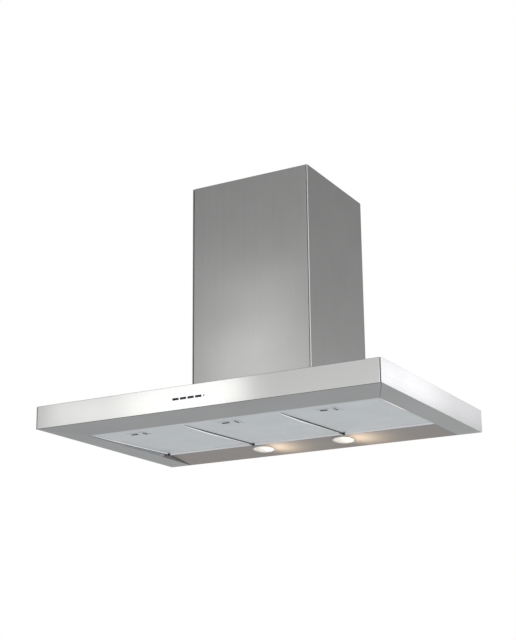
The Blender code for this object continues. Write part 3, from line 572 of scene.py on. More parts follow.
def fasteners(name, spots, body, radius, height, material=ZINC_SCREW, slot="galvanised_steel"):
    """Domed heads with a six-sided socket, at (point, outward direction) pairs."""
    shape = bmesh.new()
    outline = [
        (radius, -height * 0.1),
        (radius, height * 0.3),
        (radius * 0.86, height * 0.72),
        (radius * 0.62, height * 0.95),
        (radius * 0.46, height),
    ]
    for point, outward in spots:
        matrix = facing(point, outward)
        add_turned(shape, outline, matrix, HEAD_SIDES, closed=False)
        socket = [(radius * 0.44, height), (radius * 0.40, height * 0.35), (0, height * 0.25)]
        add_turned(shape, socket, matrix, SOCKET_SIDES, closed=False)
        rims = [(radius * 0.46, height), (radius * 0.44, height)]
        add_ring(shape, rims, matrix, HEAD_SIDES, SOCKET_SIDES)
        base = [(0, -height * 0.1), (radius, -height * 0.1)]
        add_turned(shape, base, matrix, HEAD_SIDES, closed=False)
    bmesh.ops.remove_doubles(shape, verts=shape.verts, dist=WELD)
    bmesh.ops.recalc_face_normals(shape, faces=shape.faces)
    piece(name, shape, material, body)


def add_ring(shape, rims, matrix, outer_sides, inner_sides):
    """A flat ring between a round outer rim and an inner rim with fewer sides."""
    lines = []
    for (radius, height), sides in zip(rims, (outer_sides, inner_sides)):
        turns = [2 * pi * k / sides for k in range(sides)]
        points = [matrix @ Vector((radius * cos(t), radius * sin(t), height)) for t in turns]
        lines.append([shape.verts.new(point) for point in points])
    outer, inner = lines
    share = outer_sides // inner_sides
    for k in range(outer_sides):
        owner = ((k + share // 2) // share) % inner_sides
        following = ((k + 1 + share // 2) // share) % inner_sides
        corners = [outer[k], outer[(k + 1) % outer_sides], inner[following]]
        if following != owner:
            corners.append(inner[owner])
        shape.faces.new(corners)


def swept(name, origin, path, section, material, body):
    """Sweeps a section of (sideways, down) points along a path of (x, y, z, depth factor)."""
    shape = bmesh.new()
    points = [Vector((*p[:2], 0)) for p in path]
    runs = [(after - before).normalized() for before, after in zip(points, points[1:])]
    rings = []
    for k, point in enumerate(points):
        across = [Vector((d.y, -d.x, 0)) for d in runs[max(k - 1, 0) : k + 1]]
        mitre = across[0]
        if len(across) == 2:
            mitre = (across[0] + across[1]) / (1 + across[0].dot(across[1]))
        base, factor = path[k][2:]
        ring = [point + mitre * s + Vector((0, 0, base - d * factor)) for s, d in section]
        rings.append([shape.verts.new(origin @ p) for p in ring])
    size = len(section)
    for first, second in zip(rings, rings[1:]):
        for k in range(size):
            n = (k + 1) % size
            shape.faces.new((first[k], first[n], second[n], second[k]))
    shape.faces.new(rings[0])
    shape.faces.new(rings[-1][::-1])
    bmesh.ops.recalc_face_normals(shape, faces=shape.faces)
    piece(name, shape, material, body, angle=60)


def bead(width, height):
    """The section of a half-round bead."""
    turns = [pi * k / BEAD_STEPS for k in range(BEAD_STEPS + 1)]
    return [(-width / 2 * cos(t), height * sin(t)) for t in turns]


def block(name, boxes, material, body, width, matrix=None):
    """Several rounded blocks, given by their low and high corners, in one piece."""
    shape = bmesh.new()
    for low, high in boxes:
        add_box(shape, low, high)
    bevel(shape, list(shape.edges), width, 3)
    if matrix is not None:
        bmesh.ops.transform(shape, matrix=matrix, verts=shape.verts)
    piece(name, shape, material, body)


# --- canopy

FASCIA_RIM = 0.0011
RIVET_INSET = 0.010
RIVET_END = 0.030
RIVET_GAPS = (8, 5)  # along the front and rear, and along each side


def build_fascia():
    """The front plate: a rounded rim, painted gap shade on the edges behind it, and finer button
    openings.
    """
    shape = copy_of("front_fascia")
    low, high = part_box("front_fascia")

    def on_rim(edge):
        ends = [v.co for v in edge.verts]
        at_front = all(abs(p.y - low.y) < ON_PLANE for p in ends)
        on_side = any(
            all(abs(p[axis] - limit) < ON_PLANE for p in ends)
            for axis, limit in ((0, low.x), (0, high.x), (2, low.z), (2, high.z))
        )
        return at_front and on_side

    rim = [edge for edge in sharp_edges(shape) if on_rim(edge)]
    bevel(shape, rim, FASCIA_RIM, 5)
    bevel(shape, sharp_edges(shape, 60), 0.00025, 2)
    node = "front_fascia"
    plate = piece("fascia_plate", shape, FASCIA_STEEL_PAINTED_LIGHTER, body_of(node), (node,))
    # The plate's edges behind its front face get painted shade for the gaps round the plate.
    paint_gap_shade(plate, lambda n: n.y > -0.35 or (n.y > -0.75 and abs(n.z) > 0.3))


def build_canopy():
    """The fascia, skirts, roof, flanges and lamp panel, and the rivets round the roof."""
    build_fascia()
    refine("left_skirt", "left_skirt_plate", SKIRT_STEEL_PAINTED_LIGHTER, "satin_steel", 0.0004, 3)
    refine("right_skirt", "right_skirt_plate", SKIRT_STEEL_PAINTED_LIGHTER, "satin_steel", 0.0004, 3)
    refine("rear_skirt", "rear_skirt_plate", FASCIA_STEEL_PAINTED_LIGHTER, "satin_steel", 0.0004, 3)
    refine("canopy_top", "canopy_roof", CHIMNEY_STEEL_PAINTED_DARKER, "brushed_steel", 0.0004)
    refine("front_flange", "front_flange_sheet", FLANGE_X_PAINTED_DARKER, "flange_steel", 0.0002)
    refine("left_flange", "left_flange_sheet", FLANGE_Y, "flange_steel", 0.0002)
    refine("right_flange", "right_flange_sheet", FLANGE_Y, "flange_steel", 0.0002)
    refine("lamp_panel", "lamp_panel_sheet", PANEL_STEEL_PAINTED_WARM_SHADE, "flange_steel", 0.0004, 3)
    refine("front_inner_wall", "front_inner_sheet", GALVANISED, "galvanised_steel")
    low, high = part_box("canopy_top")
    inset = RIVET_INSET
    along, across = RIVET_GAPS
    spots = []
    for k in range(along + 1):
        x = low.x + RIVET_END + k * (high.x - low.x - 2 * RIVET_END) / along
        spots.append(((x, low.y + inset, high.z), (0, 0, 1)))
        spots.append(((x, high.y - inset, high.z), (0, 0, 1)))
    for k in range(1, across):
        y = low.y + inset + k * (high.y - low.y - 2 * inset) / across
        spots.append(((low.x + inset, y, high.z), (0, 0, 1)))
        spots.append(((high.x - inset, y, high.z), (0, 0, 1)))
    body = body_of("canopy_top")
    fasteners("roof_rivets", spots, body, *ROOF_RIVET, ALUMINIUM, "aluminium")


# --- lamps

LAMP_SIDES = 64
BEZEL_OUTER = 0.0300
BEZEL_INNER = 0.0264
BEZEL_HALF = 0.0008
# Half the lens's outline: radius, height
LENS_OUTLINE = (
    (0, -0.0012), (0.0262, -0.0012), (0.0262, 0.0010), (0.0252, 0.0016), (0.0215, 0.0014),
    (0.0207, 0.0019), (0.0195, 0.0022), (0.0150, 0.0021), (0.0142, 0.0026),
    (0.0130, 0.0030), (0.0080, 0.0031), (0.0072, 0.0027), (0, 0.0029),
)
GLOW_POWER = 0.95
GLOW_COLOUR = (1.0, 0.80, 0.56)
GLOW_SIZE = 0.020
GLOW_ANGLE = 120
GLOW_HEIGHT = 0.060
GLOW_OFFSET = 0.036
GLOW_LEAN = 0.45


def build_lamps():
    """Each lamp's bezel, domed lens and housing, and the light it gives."""
    for side in ("left", "right"):
        lens = f"lamp_lens_{side}"
        normal = down_normal(lens)
        ring = f"lamp_bezel_{side}"
        matrix = facing(middle(ring), normal)
        bezel = bmesh.new()
        outer, inner, half = BEZEL_OUTER, BEZEL_INNER, BEZEL_HALF
        profile = [
            (inner, -half),
            (outer, -half),
            (outer, -half * 0.2),
            (outer - 0.0003, half * 0.5),
            (outer - 0.0009, half * 0.9),
            (outer - 0.0016, half),
            (inner + 0.0009, half),
            (inner + 0.0004, half * 0.6),
            (inner, -half * 0.2),
        ]
        add_turned(bezel, profile, matrix, LAMP_SIDES)
        piece(f"lamp_ring_{side}", bezel, BEZEL_METAL, body_of(ring), (ring,), 60)
        glass = bmesh.new()
        matrix = facing(middle(lens), normal)
        add_turned(glass, LENS_OUTLINE, matrix, LAMP_SIDES, closed=False)
        glowing = piece(f"lamp_glass_{side}", glass, LENS, body_of(lens), (lens,), 60)
        refine(f"lamp_housing_{side}", f"lamp_can_{side}", WHITE, "white_plastic", 0.0005)
        build_glow(side, glowing, middle(lens), normal)


def build_glow(side, glowing, centre, normal):
    """Warm light that falls on the panel beside the lamp. It shows in no reflection."""
    lamp = bpy.data.lights.new(f"lamp_light_{side}", "SPOT")
    lamp.energy = GLOW_POWER
    lamp.color = GLOW_COLOUR
    lamp.shadow_soft_size = GLOW_SIZE
    lamp.spot_size = radians(GLOW_ANGLE)
    lamp.spot_blend = 1.0
    holder = bpy.data.objects.new(f"lamp_light_{side}", lamp)
    SCENE.collection.objects.link(holder)
    spot = centre + normal * GLOW_HEIGHT + Vector((GLOW_OFFSET, 0, 0))
    aim = normal - Vector((GLOW_LEAN, 0, 0))
    turn = aim.to_track_quat("Z", "Y").to_matrix().to_4x4()
    holder.matrix_world = Matrix.Translation(spot) @ turn
    holder.visible_camera = False
    holder.visible_glossy = False
    holder.parent = glowing
    holder.matrix_parent_inverse = glowing.matrix_world.inverted()


# --- filters

EDGE_INSET = 0.0022
HEM_FRONT = 0.020
HEM_TAPER = 0.100
HEM_SECTION = (0.0044, 0.0040)
SIDE_LINE_SECTION = (0.0026, 0.0016)
FRONT_DEPTH = 0.15  # share of a bead's depth that is left at the filter's front
LONG_EDGE = 0.2
STOP_INSET = (0.0032, 0.0036)
STOP_LOW = (0.0030, 0.0030, 0.0046)
STOP_HIGH = (0.0030, 0.0026, 0.0004)
MESH_PITCH = 0.0045
MESH_RISE = 0.0003
MESH_SINK = -0.0002
MESH_DROP = 0.0010
MESH_FACE = 0.0006  # points within this depth belong to the pack's lower face
MESH_WALL = 0.001
CUP_OFFSET = 0.009
CUP_HALF = (0.0088, 0.0038)
CUP_DEPTH = 0.0046
CUP_WALL = 0.0008
CUP_LIP = (0, 0.0016, 0.0020)
CUP_LIP_RISE = (0, 0, 0.0010)
COVER_LOW = (0.003, 0.003, 0.0006)
COVER_HIGH = (0.003, 0.009, -0.0001)
RIB_OFFSET = 0.0190
RIB_LOW = (0.0011, 0.0100, 0.0019)
RIB_HIGH = (0.0011, 0.0100, 0.0002)


def lower_face(origin, low, node):
    """The corners of a node's lowest flat face, in its own frame."""
    return extent([p for p in own_points(node, origin) if p.z - low.z < LEVEL])


def build_filter(tag):
    """A frame with a rolled hem, a side bead whose colour is painted light and shade, a rubber
    stop, its wire pack and its latch.
    """
    node = f"filter_frame_{tag}"
    origin, low, _ = local_frame(node)
    inverse = origin.inverted()
    shape = copy_of(node)

    def height(vertex):
        return (inverse @ vertex.co).z

    lower = [
        edge
        for edge in sharp_edges(shape)
        if all(abs(height(v) - low.z) < LEVEL for v in edge.verts)
        and edge.calc_length() > LONG_EDGE
    ]
    bevel(shape, lower, 0.0009, 4)
    bevel(shape, sharp_edges(shape, 60), 0.0002, 1)
    body = body_of(node)
    piece(f"filter_surround_{tag}", shape, ALUMINIUM, body, (node,), 40)
    face_low, face_high = lower_face(origin, low, node)
    left, right = face_low.x + EDGE_INSET, face_high.x - EDGE_INSET
    front, rear = face_low.y + HEM_FRONT, face_high.y - EDGE_INSET
    deep = front + HEM_TAPER
    path = [(right, front, low.z, FRONT_DEPTH), (right, deep, low.z, 1)]
    path += [(right, rear, low.z, 1), (left, rear, low.z, 1)]
    hem = bead(*HEM_SECTION)
    swept(f"filter_hem_{tag}", origin, path, hem, ROLLED_EDGE_PAINTED_HIGHLIGHT, body)
    path = [(left, rear - SIDE_LINE_SECTION[1], low.z, 1), (left, deep, low.z, 1)]
    path += [(left, front, low.z, FRONT_DEPTH)]
    # The side bead's colour is painted: a painted highlight on the first filter, and on the others
    # a black painted shadow of the gap to the next filter.
    edge, slot = (ROLLED_EDGE_PAINTED_HIGHLIGHT, "aluminium") if tag == 1 else (BLACK, "black_plastic")
    swept(f"filter_seal_{tag}", origin, path, bead(*SIDE_LINE_SECTION), edge, body)
    corner = Vector((face_low.x + STOP_INSET[0], face_high.y - STOP_INSET[1], low.z))
    boxes = [(corner - Vector(STOP_LOW), corner + Vector(STOP_HIGH))]
    block(f"filter_stop_{tag}", boxes, BLACK, body, 0.0008, origin)
    build_filter_mesh(tag)
    build_latch(tag)


def build_filter_mesh(tag):
    """The wire pack, with the diamond relief of its expanded sheet on the lower face."""
    node = f"filter_mesh_{tag}"
    origin, low, high = local_frame(node)
    inverse = origin.inverted()
    shape = copy_of(node)
    bmesh.ops.transform(shape, matrix=inverse, verts=shape.verts)
    for axis in (0, 1):
        count = int((high[axis] - low[axis]) / MESH_PITCH)
        for k in range(1, count + 1):
            point = Vector((0, 0, 0))
            point[axis] = low[axis] + k * MESH_PITCH
            normal = Vector((0, 0, 0))
            normal[axis] = 1
            faces = [f for f in shape.faces if all(v.co.z - low.z < LEVEL for v in f.verts)]
            edges = {edge for face in faces for edge in face.edges}
            verts = {vert for face in faces for vert in face.verts}
            geometry = faces + list(edges) + list(verts)
            bmesh.ops.bisect_plane(
                shape, geom=geometry, plane_co=point, plane_no=normal, dist=HAIR
            )
    for vert in shape.verts:
        level = all(v.co.z - low.z < LEVEL for edge in vert.link_edges for v in edge.verts)
        rim = any(w.co.z - low.z > MESH_WALL for face in vert.link_faces for w in face.verts)
        if level and not rim:
            column = round((vert.co.x - low.x) / MESH_PITCH)
            row = round((vert.co.y - low.y) / MESH_PITCH)
            vert.co.z += MESH_RISE if (column + row) % 2 else MESH_SINK
    for vert in shape.verts:
        if vert.co.z - low.z < MESH_FACE:
            vert.co.z -= MESH_DROP
    bmesh.ops.transform(shape, matrix=origin, verts=shape.verts)
    piece(f"filter_pack_{tag}", shape, MESH_METAL, body_of(node), (node,), 40)


def plate_with_hole(shape, low, high, hole_low, hole_high):
    """A flat plate with a rectangular hole through it."""
    rings = []
    for z in (low.z, high.z):
        for a, b in ((low, high), (hole_low, hole_high)):
            corners = ((a.x, a.y), (b.x, a.y), (b.x, b.y), (a.x, b.y))
            rings.append([shape.verts.new((x, y, z)) for x, y in corners])
    outer_low, hole_bottom, outer_high, hole_top = rings
    for k in range(4):
        n = (k + 1) % 4
        shape.faces.new((outer_low[k], hole_bottom[k], hole_bottom[n], outer_low[n]))
        shape.faces.new((outer_high[k], outer_high[n], hole_top[n], hole_top[k]))
        shape.faces.new((outer_low[k], outer_low[n], outer_high[n], outer_high[k]))
        shape.faces.new((hole_bottom[k], hole_top[k], hole_top[n], hole_bottom[n]))
    bmesh.ops.recalc_face_normals(shape, faces=shape.faces)


def build_latch(tag):
    """A thin cover plate with a black finger cup, its grip lip and a guide rib."""
    node = f"filter_latch_{tag}"
    refine(node, f"latch_plate_{tag}", ALUMINIUM, "aluminium")
    origin, low, _ = local_frame(node)
    face_low, face_high = lower_face(origin, low, node)
    body = body_of(node)
    centre = (face_low + face_high) / 2
    bottom = low.z
    cup = Vector((centre.x - CUP_OFFSET, centre.y, bottom))
    half = Vector((*CUP_HALF, 0))
    cover = bmesh.new()
    plate_with_hole(
        cover,
        Vector((face_low.x, face_low.y, bottom)) - Vector(COVER_LOW),
        Vector((face_high.x, face_high.y, bottom)) + Vector(COVER_HIGH),
        cup - half,
        cup + half,
    )
    bevel(cover, list(cover.edges), 0.0002, 2)
    bmesh.ops.transform(cover, matrix=origin, verts=cover.verts)
    piece(f"latch_cover_{tag}", cover, ALUMINIUM, body)
    top = Vector((0, 0, CUP_DEPTH))
    left, right = Vector((half.x, 0, 0)), Vector((half.x - CUP_WALL, 0, 0))
    front, rear = Vector((0, half.y, 0)), Vector((0, half.y - CUP_WALL, 0))
    boxes = [
        (cup - half + top - Vector((0, 0, CUP_WALL)), cup + half + top),
        (cup - half, cup - right + front + top),
        (cup + right - front, cup + half + top),
        (cup - half, cup + left - rear + top),
        (cup - left + rear, cup + half + top),
        (cup - half - Vector(CUP_LIP), cup + left - rear + Vector(CUP_LIP_RISE)),
    ]
    block(f"latch_cup_{tag}", boxes, BLACK, body, 0.0002, origin)
    rib = Vector((centre.x + RIB_OFFSET, centre.y, bottom))
    boxes = [(rib - Vector(RIB_LOW), rib + Vector(RIB_HIGH))]
    block(f"latch_rib_{tag}", boxes, BLACK, body, 0.0006, origin)


# --- controls

CHIP_COUNT = 3
CHIP_START = 0.018
CHIP_PITCH = 0.024
CHIP_HALF = (0.005, 0.003)
CHIP_THICK = 0.0018
CAPACITOR_COUNT = 4
CAPACITOR_START = 0.006
CAPACITOR_PITCH = 0.020
# Half a capacitor's outline: radius, height
CAPACITOR = (
    (0, 0), (0.0028, 0), (0.0028, 0.0060), (0.0024, 0.0068), (0.0018, 0.0066), (0, 0.0066),
)
LID_LIP = 0.0012
LID_THICK = 0.0016


def build_controls():
    for number in range(1, 5):
        refine(f"push_button_{number}", f"button_cap_{number}", BLACK, "black_plastic", 0.0004, 3)
    refine("status_led", "status_lens", INDICATOR, "indicator", 0.0006, 4)
    refine("button_housing", "button_carrier", BLACK, "black_plastic", 0.0005)
    refine("control_board", "control_card", BOARD, "circuit_board", 0.0001)
    refine("electronics_box", "electronics_case", GREY, "grey_plastic", 0.0015, 3)
    build_board_parts()
    build_electronics_lid()


def build_board_parts():
    """Chips, a connector and capacitors on the back of the control board."""
    low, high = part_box("control_board")
    body = body_of("control_board")
    face = high.y
    middle_z = (low.z + high.z) / 2
    chips = []
    across, up = CHIP_HALF
    for k in range(CHIP_COUNT):
        x = low.x + CHIP_START + k * CHIP_PITCH
        corner = (x - across, face, middle_z - up)
        chips.append((corner, (x + across, face + CHIP_THICK, middle_z + up)))
    block("board_chips", chips, BLACK, body, 0.0003)
    corner = (high.x - 0.014, face, middle_z - 0.005)
    socket = [(corner, (high.x - 0.004, face + 0.006, middle_z + 0.005))]
    block("board_socket", socket, WHITE, body, 0.0005)
    shape = bmesh.new()
    for k in range(CAPACITOR_COUNT):
        x = low.x + CAPACITOR_START + k * CAPACITOR_PITCH
        matrix = facing((x, face, middle_z + 0.006), (0, 1, 0))
        add_turned(shape, CAPACITOR, matrix, 20, closed=False)
    piece("board_capacitors", shape, GREY, body)


def build_electronics_lid():
    """A lid under the box, with a screw in each corner."""
    low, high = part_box("electronics_box")
    body = body_of("electronics_box")
    corner = (low.x - LID_LIP, low.y + 0.003, low.z - LID_THICK)
    lid = [(corner, (high.x + LID_LIP, high.y + LID_LIP, low.z + 0.0004))]
    block("electronics_lid", lid, GREY, body, 0.0007)
    spots = [
        ((x, y, low.z - LID_THICK), (0, 0, -1))
        for x in (low.x + 0.008, high.x - 0.008)
        for y in (low.y + 0.010, high.y - 0.008)
    ]
    fasteners("electronics_screws", spots, body, *LID_SCREW)


# --- blower

FIN_COUNT = 7
FIN_START = 0.008
FIN_ENDS = 0.020  # the length of the motor that has no fins
FIN_REACH = 0.0012
FIN_ROOT = 0.0010
# Half the end bell's outline: radius, height
BELL = (
    (0.014, 0), (0.014, 0.0045), (0.0125, 0.0062), (0.0105, 0.0066), (0.0060, 0.0066),
    (0.0055, 0),
)
MOTOR_SCREW_REACH = 0.030
GLAND_BORE = 0.0045
CASING_SCREW_INSET = 0.012
COLLAR_SCREW_INSET = 0.004
CLAMP_DROPS = (0.020, 0.060)


def build_motor():
    """The motor with its cooling fins, end bell and four cover screws."""
    refine("motor", "motor_can", MOTOR_PAINT, "motor_paint", 0.003, 4)
    low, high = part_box("motor")
    centre = middle("motor")
    body = body_of("motor")
    radius = (high.z - low.z) / 2
    matrix = facing(Vector((low.x, centre.y, centre.z)), (1, 0, 0))
    length = high.x - low.x
    shape = bmesh.new()
    for k in range(FIN_COUNT):
        z = FIN_START + k * (length - FIN_ENDS) / (FIN_COUNT - 1)
        ring = [
            (radius - FIN_ROOT, z - 0.0009),
            (radius + FIN_REACH, z - 0.0006),
            (radius + FIN_REACH, z + 0.0006),
            (radius - FIN_ROOT, z + 0.0009),
        ]
        add_turned(shape, ring, matrix, 64)
    piece("motor_fins", shape, MOTOR_PAINT, body, angle=40)
    shape = bmesh.new()
    add_turned(shape, BELL, facing(Vector((high.x, centre.y, centre.z)), (1, 0, 0)), 40)
    piece("motor_end_bell", shape, ZINC_SCREW, body)
    spots = []
    for turn in [pi / 4 + k * pi / 2 for k in range(4)]:
        y = centre.y + MOTOR_SCREW_REACH * cos(turn)
        z = centre.z + MOTOR_SCREW_REACH * sin(turn)
        spots.append(((high.x, y, z), (1, 0, 0)))
    fasteners("motor_screws", spots, body, *MOTOR_SCREW)


def build_gland():
    """The cable entry: a six-sided nut under a rounded dome."""
    node = "cable_gland"
    low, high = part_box(node)
    centre = middle(node)
    radius = (high.x - low.x) / 2
    height = high.z - low.z
    matrix = facing(Vector((centre.x, centre.y, low.z)), (0, 0, 1))
    bore = GLAND_BORE
    nut_top = height * 0.45
    shape = bmesh.new()
    nut = [(bore, 0), (radius * 0.8, 0), (radius, 0.0005), (radius, height * 0.42)]
    nut += [(radius * 0.8, nut_top), (bore, nut_top)]
    add_turned(shape, nut, matrix, 6)
    dome = [(bore, nut_top), (radius * 0.86, nut_top), (radius * 0.86, height * 0.62)]
    dome += [(radius * 0.78, height * 0.80), (radius * 0.62, height * 0.94)]
    dome += [(bore + 0.0008, height), (bore, height * 0.97)]
    add_turned(shape, dome, matrix, 32)
    piece("cable_entry", shape, BLACK, body_of(node), (node,), 40)


def build_inside():
    """The flaps, uprights, ceiling tray and blower, seen when the hood is open."""
    for node in sorted(NODES):
        if node.startswith("backdraft_flap"):
            refine(node, node + "_leaf", ALUMINIUM, "aluminium", 0.0001)
        elif "upright" in node:
            refine(node, node + "_angle", GALVANISED, "galvanised_steel", 0.0004)
    refine("ceiling_plate", "ceiling_tray", GALVANISED, "galvanised_steel", 0.0004)
    refine("blower_casing", "blower_box", GALVANISED, "galvanised_steel", 0.0004)
    refine("volute", "scroll_housing", GALVANISED, "galvanised_steel")
    refine("impeller", "fan_wheel", WHEEL_PLASTIC, "impeller_plastic", 0.0001, 1)
    refine("motor_shaft", "fan_shaft", SHAFT_STEEL, "shaft_steel", 0.0004)
    refine("motor_bracket", "motor_arms", GALVANISED, "galvanised_steel")
    refine("outlet_spigot", "duct_collar", GREY, "grey_plastic", 0.0006)
    refine("flap_pin", "flap_hinge_pin", SHAFT_STEEL, "shaft_steel")
    build_motor()
    build_gland()
    build_upright_screws()
    build_blower_screws()


def build_blower_screws():
    """Screws on the casing's front and rear and round the foot of the duct collar."""
    low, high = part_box("blower_casing")
    spots = []
    for x in (low.x + CASING_SCREW_INSET, high.x - CASING_SCREW_INSET):
        for z in (low.z + 0.03, middle("blower_casing").z, high.z - 0.03):
            spots.append(((x, low.y, z), (0, -1, 0)))
            spots.append(((x, high.y, z), (0, 1, 0)))
    fasteners("casing_screws", spots, body_of("blower_casing"), *CASING_SCREW)
    low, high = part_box("outlet_spigot")
    spots = []
    for k in range(6):
        turn = pi / 6 + k * pi / 3
        reach = (high.x - low.x) / 2 - COLLAR_SCREW_INSET
        spots.append(((reach * cos(turn), reach * sin(turn), low.z + 0.002), (0, 0, 1)))
    fasteners("spigot_screws", spots, body_of("outlet_spigot"), *COLLAR_SCREW)


def build_upright_screws():
    """Clamp screws at the lower uprights' upper ends."""
    spots = []
    for side in ("left", "right"):
        for end in ("front", "rear"):
            low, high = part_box(f"lower_upright_{end}_{side}")
            inward = 1 if side == "left" else -1
            x = low.x + 0.002 if side == "left" else high.x - 0.002
            for drop in CLAMP_DROPS:
                spots.append(((x, (low.y + high.y) / 2, high.z - drop), (inward, 0, 0)))
    fasteners("clamp_screws", spots, body_of("lower_upright_front_left"), *CLAMP_SCREW)


# --- camera and light

CAMERA_PLACE = (1.536989, -2.887820, -1.305861)
CAMERA_LENS = 75.526
CAMERA_SENSOR = 36
CAMERA_REACH = 60
CAMERA_TURN = 0.506
CAMERA_TILT = 0.288
CAMERA_ROLL = -0.010
FLOOR_DROP = 1.8
FLOOR_GLOW = 0.42


def build_camera():
    lens = bpy.data.cameras.new("camera")
    lens.sensor_width = CAMERA_SENSOR
    lens.lens = CAMERA_LENS
    lens.clip_end = CAMERA_REACH
    camera = bpy.data.objects.new("camera", lens)
    place = Matrix.Translation(CAMERA_PLACE)
    turn = Matrix.Rotation(CAMERA_TURN, 4, "Z")
    tilt = Matrix.Rotation(pi / 2 + CAMERA_TILT, 4, "X")
    roll = Matrix.Rotation(CAMERA_ROLL, 4, "Z")
    SCENE.collection.objects.link(camera)
    camera.matrix_world = place @ turn @ tilt @ roll
    SCENE.camera = camera


def direction(azimuth, elevation):
    """A unit vector. Azimuth 0 is -Y, the front, and 90 is +X, the right."""
    a, e = radians(azimuth), radians(elevation)
    return Vector((sin(a) * cos(e), -cos(a) * cos(e), sin(e)))


# Brightness of the studio by elevation in degrees
SKY = (
    (-90, 0.90), (-60, 0.70), (-40, 0.60), (-20, 0.57), (-10, 0.55), (0, 0.56), (8, 0.60),
    (12, 0.60), (16, 0.50), (20, 0.39), (25, 0.30), (40, 0.26), (60, 0.36), (90, 0.60),
)
# Soft boxes: azimuth, elevation, brightness, spread in degrees
SOFT_BOXES = (
    (29, 0, 0.80, 22),
    (61, 14, 1.60, 18),
    (155, 9, -0.18, 10),
    (-34, 24, -0.21, 7),
    (-20, 14, 0.18, 7),
    (-95, 12, -0.20, 20),
    (167, -27, 0.62, 12),
)
EULER = 2.718282
DARKEST = 0.02  # no direction of the studio is darker
WARM = (1.0, 1.0, 0.97)
MILD = (1.0, 1.0, 0.98)
COOL = (0.97, 0.97, 1.0)
PLAIN = (1.0, 1.0, 1.0)
# Near strips: name, centre, target, size, brightness, colour
STRIPS = (
    ("fascia_strip", (-0.35, -0.70, -0.532), (-0.35, -0.40, -0.532), (0.60, 0.11), 0.43, WARM),
    ("control_strip", (-0.22, -0.71, -0.532), (-0.22, -0.40, -0.532), (0.36, 0.11), 0.34, WARM),
    ("chimney_strip", (-0.27, -0.70, -0.24), (-0.27, -0.15, -0.24), (0.26, 0.38), 0.30, MILD),
    ("foot_strip", (-0.31, -0.71, -0.33), (-0.31, -0.15, -0.33), (0.24, 0.16), 0.46, WARM),
    ("skirt_strip", (0.75, 0.60, -0.424), (0.45, 0.60, -0.424), (1.00, 0.12), 0.55, COOL),
    ("corner_strip", (0.76, 0.38, -0.424), (0.45, 0.38, -0.424), (0.50, 0.12), 0.62, PLAIN),
)


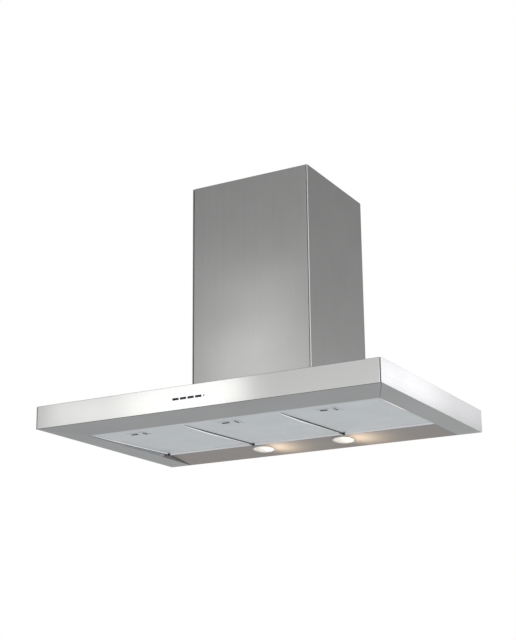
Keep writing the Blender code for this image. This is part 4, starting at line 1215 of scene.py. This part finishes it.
def build_world():
    """A studio that lights the hood, behind a plain white backdrop that the camera sees."""
    world = bpy.data.worlds.new("studio")
    SCENE.world = world
    world.use_nodes = True
    made = Nodes(world.node_tree)
    made.tree.nodes.clear()
    coordinates = made.node("ShaderNodeTexCoord").outputs["Generated"]
    parts = made.node("ShaderNodeSeparateXYZ")
    made.join(coordinates, parts.inputs[0])
    height = made.node("ShaderNodeMapRange")
    height.inputs["From Min"].default_value = -1
    made.join(parts.outputs["Z"], height.inputs["Value"])
    ramp = made.node("ShaderNodeValToRGB")
    stops = ramp.color_ramp.elements
    while len(stops) < len(SKY):
        stops.new(0.5)
    for stop, (elevation, value) in zip(stops, SKY):
        stop.position = (sin(radians(elevation)) + 1) / 2
        stop.color = (value, value, value, 1)
    made.join(height.outputs["Result"], ramp.inputs["Fac"])
    total = ramp.outputs["Color"]
    for azimuth, elevation, value, spread in SOFT_BOXES:
        dot = made.node("ShaderNodeVectorMath", operation="DOT_PRODUCT")
        made.join(coordinates, dot.inputs[0])
        dot.inputs[1].default_value = direction(azimuth, elevation)
        below = made.maths("SUBTRACT", dot.outputs["Value"], 1.0)
        falloff = made.maths("MULTIPLY", below, 1 / radians(spread) ** 2)
        lobe = made.maths("MULTIPLY", made.maths("POWER", EULER, falloff), value)
        total = made.maths("ADD", total, lobe)
    light = made.node("ShaderNodeBackground")
    made.join(made.maths("MAXIMUM", total, DARKEST), light.inputs["Color"])
    backdrop = made.node("ShaderNodeBackground")
    backdrop.inputs["Color"].default_value = (1, 1, 1, 1)
    seen = made.node("ShaderNodeLightPath")
    mixed = made.node("ShaderNodeMixShader")
    made.join(seen.outputs["Is Camera Ray"], mixed.inputs["Fac"])
    made.join(light.outputs[0], mixed.inputs[1])
    made.join(backdrop.outputs[0], mixed.inputs[2])
    out = made.node("ShaderNodeOutputWorld")
    made.join(mixed.outputs[0], out.inputs["Surface"])


def area_light(name, centre, target, size, radiance, colour):
    light = bpy.data.lights.new(name, "AREA")
    light.shape = "RECTANGLE"
    light.size, light.size_y = size
    light.energy = radiance * pi * size[0] * size[1]
    light.color = colour
    holder = bpy.data.objects.new(name, light)
    SCENE.collection.objects.link(holder)
    away = Vector(centre) - Vector(target)
    turn = away.to_track_quat("Z", "Y").to_matrix().to_4x4()
    holder.matrix_world = Matrix.Translation(centre) @ turn
    holder.visible_camera = False


def build_floor():
    """A pale floor far below, clear from underneath and unseen by the hood's own surfaces."""
    low = CAD_BOX[0]
    shape = bmesh.new()
    bmesh.ops.create_grid(shape, x_segments=2, y_segments=2, size=9)
    bmesh.ops.translate(shape, vec=(0, 0, low.z - FLOOR_DROP), verts=shape.verts)
    mesh = bpy.data.meshes.new("floor")
    shape.to_mesh(mesh)
    shape.free()
    floor = bpy.data.objects.new("floor", mesh)
    SCENE.collection.objects.link(floor)
    made = Surface("pale_floor", (0.86, 0.86, 0.86), 0.7)
    made.set_colour(made.shades(made.spread(made.noise(2.0), 0, 1), 0.99, 1.01))
    made.shader.inputs["Emission Color"].default_value = (1, 1, 1, 1)
    made.shader.inputs["Emission Strength"].default_value = FLOOR_GLOW
    behind = made.node("ShaderNodeNewGeometry").outputs["Backfacing"]
    clear = made.node("ShaderNodeBsdfTransparent")
    mixed = made.node("ShaderNodeMixShader")
    made.join(behind, mixed.inputs["Fac"])
    made.join(made.shader.outputs[0], mixed.inputs[1])
    made.join(clear.outputs[0], mixed.inputs[2])
    made.join(mixed.outputs[0], made.tree.nodes["Material Output"].inputs["Surface"])
    mesh.materials.append(made.material)
    floor.visible_glossy = False
    floor.visible_diffuse = False
    floor.visible_shadow = False


build_camera()
build_chimney()
build_canopy()
build_lamps()
for tag in (1, 2, 3):
    build_filter(tag)
build_controls()
build_inside()
build_world()
for strip in STRIPS:
    area_light(*strip)
build_floor()
SCENE.view_settings.view_transform = "Standard"
